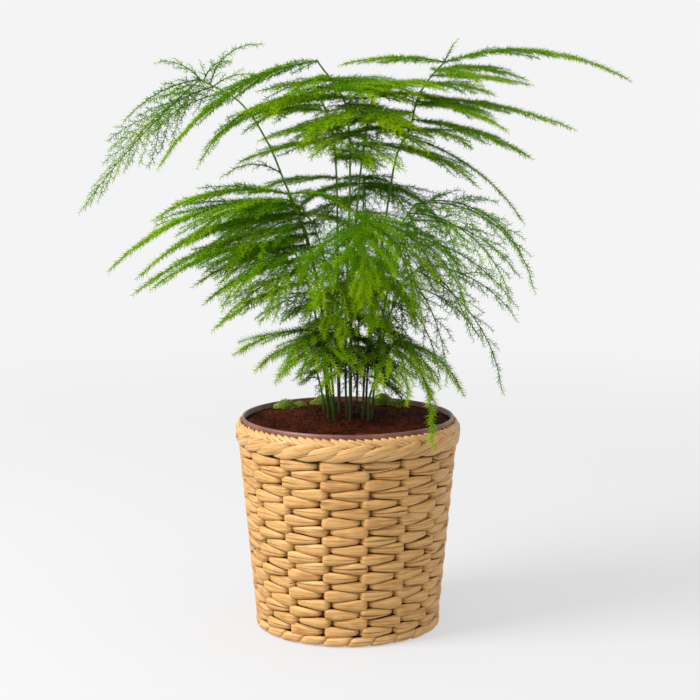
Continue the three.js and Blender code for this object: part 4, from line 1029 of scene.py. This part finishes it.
def dress(piece, node):
    """Puts a piece on the part's one body, in place of its plain solid."""
    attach(piece, "root")
    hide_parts(node)


def make_stage():
    """Plain pale floor that fades into an even pale surround, and soft studio light from the left."""
    surround = linear("#F4F4F5")
    mesh = bpy.data.meshes.new("floor")
    reach = 40.0
    corners = [(x * reach, y * reach, 0) for x, y in ((-1, -1), (1, -1), (1, 1), (-1, 1))]
    mesh.from_pydata(corners, [], [range(4)])
    floor = link_object("floor", mesh)
    material, tree, shader = principled("matt_floor")
    feed(tree, shader, {
        "Base Color": linear("#BCBCBC"), "Roughness": 0.9, "Specular IOR Level": 0.2})
    place = add(tree, "ShaderNodeTexCoord").outputs["Object"]
    away = add(tree, VECTOR, place, operation="LENGTH").outputs["Value"]
    fade = add(tree, "ShaderNodeMapRange", {
        "Value": away, "From Min": 0.4, "From Max": 1.9, "To Min": 0.58},
        interpolation_type="SMOOTHSTEP")
    glow = add(tree, "ShaderNodeEmission", {"Color": surround, "Strength": 1.0})
    blend = add(tree, "ShaderNodeMixShader", fade, shader, glow)
    add(tree, "ShaderNodeOutputMaterial", {"Surface": blend}).is_active_output = True
    mesh.materials.append(material)
    world = bpy.data.worlds.new("surround")
    world.use_nodes = True
    feed(world.node_tree, world.node_tree.nodes["Background"], {"Color": surround, "Strength": 1.0})
    bpy.context.scene.world = world
    middle = Vector((0, 0, 0.25))
    for name, place, power, width in (
            ("key_light", (-1.9, -0.9, 1.9), 108, 1.3), ("front_light", (-0.6, -2.0, 1.6), 6, 1.6)):
        light = bpy.data.lights.new(name, "AREA")
        light.energy, light.size = power, width
        lamp = link_object(name, light)
        lamp.location = place
        lamp.rotation_euler = (middle - Vector(place)).to_track_quat("-Z", "Y").to_euler()


def make_camera():
    """The photograph's view, from the front and a little above."""
    data = bpy.data.cameras.new("camera")
    data.lens = CAMERA_LENS
    data.sensor_width = 36
    camera = link_object("camera", data)
    camera.location = CAMERA_PLACE
    camera.rotation_euler = (math.pi / 2 - CAMERA_PITCH, 0, 0)
    bpy.context.scene.camera = camera


make_camera()
make_stage()
bpy.context.scene.view_settings.view_transform = "Standard"

strand = paint_strand("water_hyacinth_strand", "#C4985A", "#AA7838", "#845A24", "#583412")
border = paint_strand("water_hyacinth_border", "#C59A60", "#B08244", "#8E642C", "#623E18")
shaded_weave = paint_shaded_inner_weave()
for piece in make_basket_wall(strand, shaded_weave):
    dress(piece, "basket_wall")
for piece in make_basket_rim(border):
    dress(piece, "basket_rim")
dress(make_foot_braid(border), "foot_braid")
for piece in make_basket_floor(strand, shaded_weave):
    dress(piece, "basket_floor")
dress(make_pot(paint_pot()), "inner_pot")
for piece in make_soil(paint_soil()):
    dress(piece, "soil")
cushion = moss_tree(paint_moss())
for i, (x, y, half_width, height) in enumerate(MOSS):
    name = "moss_" + str(i + 1)
    dress(make_moss(name, cushion, x, y, half_width, height, i + 1), name)
fern = frond_tree(paint_needles(), paint_stem())
for i, (name, (freshness, stem, sprays)) in enumerate(FRONDS.items()):
    whole = sprays + FILLERS.get(name, [])
    dress(make_frond(name, fern, i + 1, freshness, stem, whole), "frond_" + name)
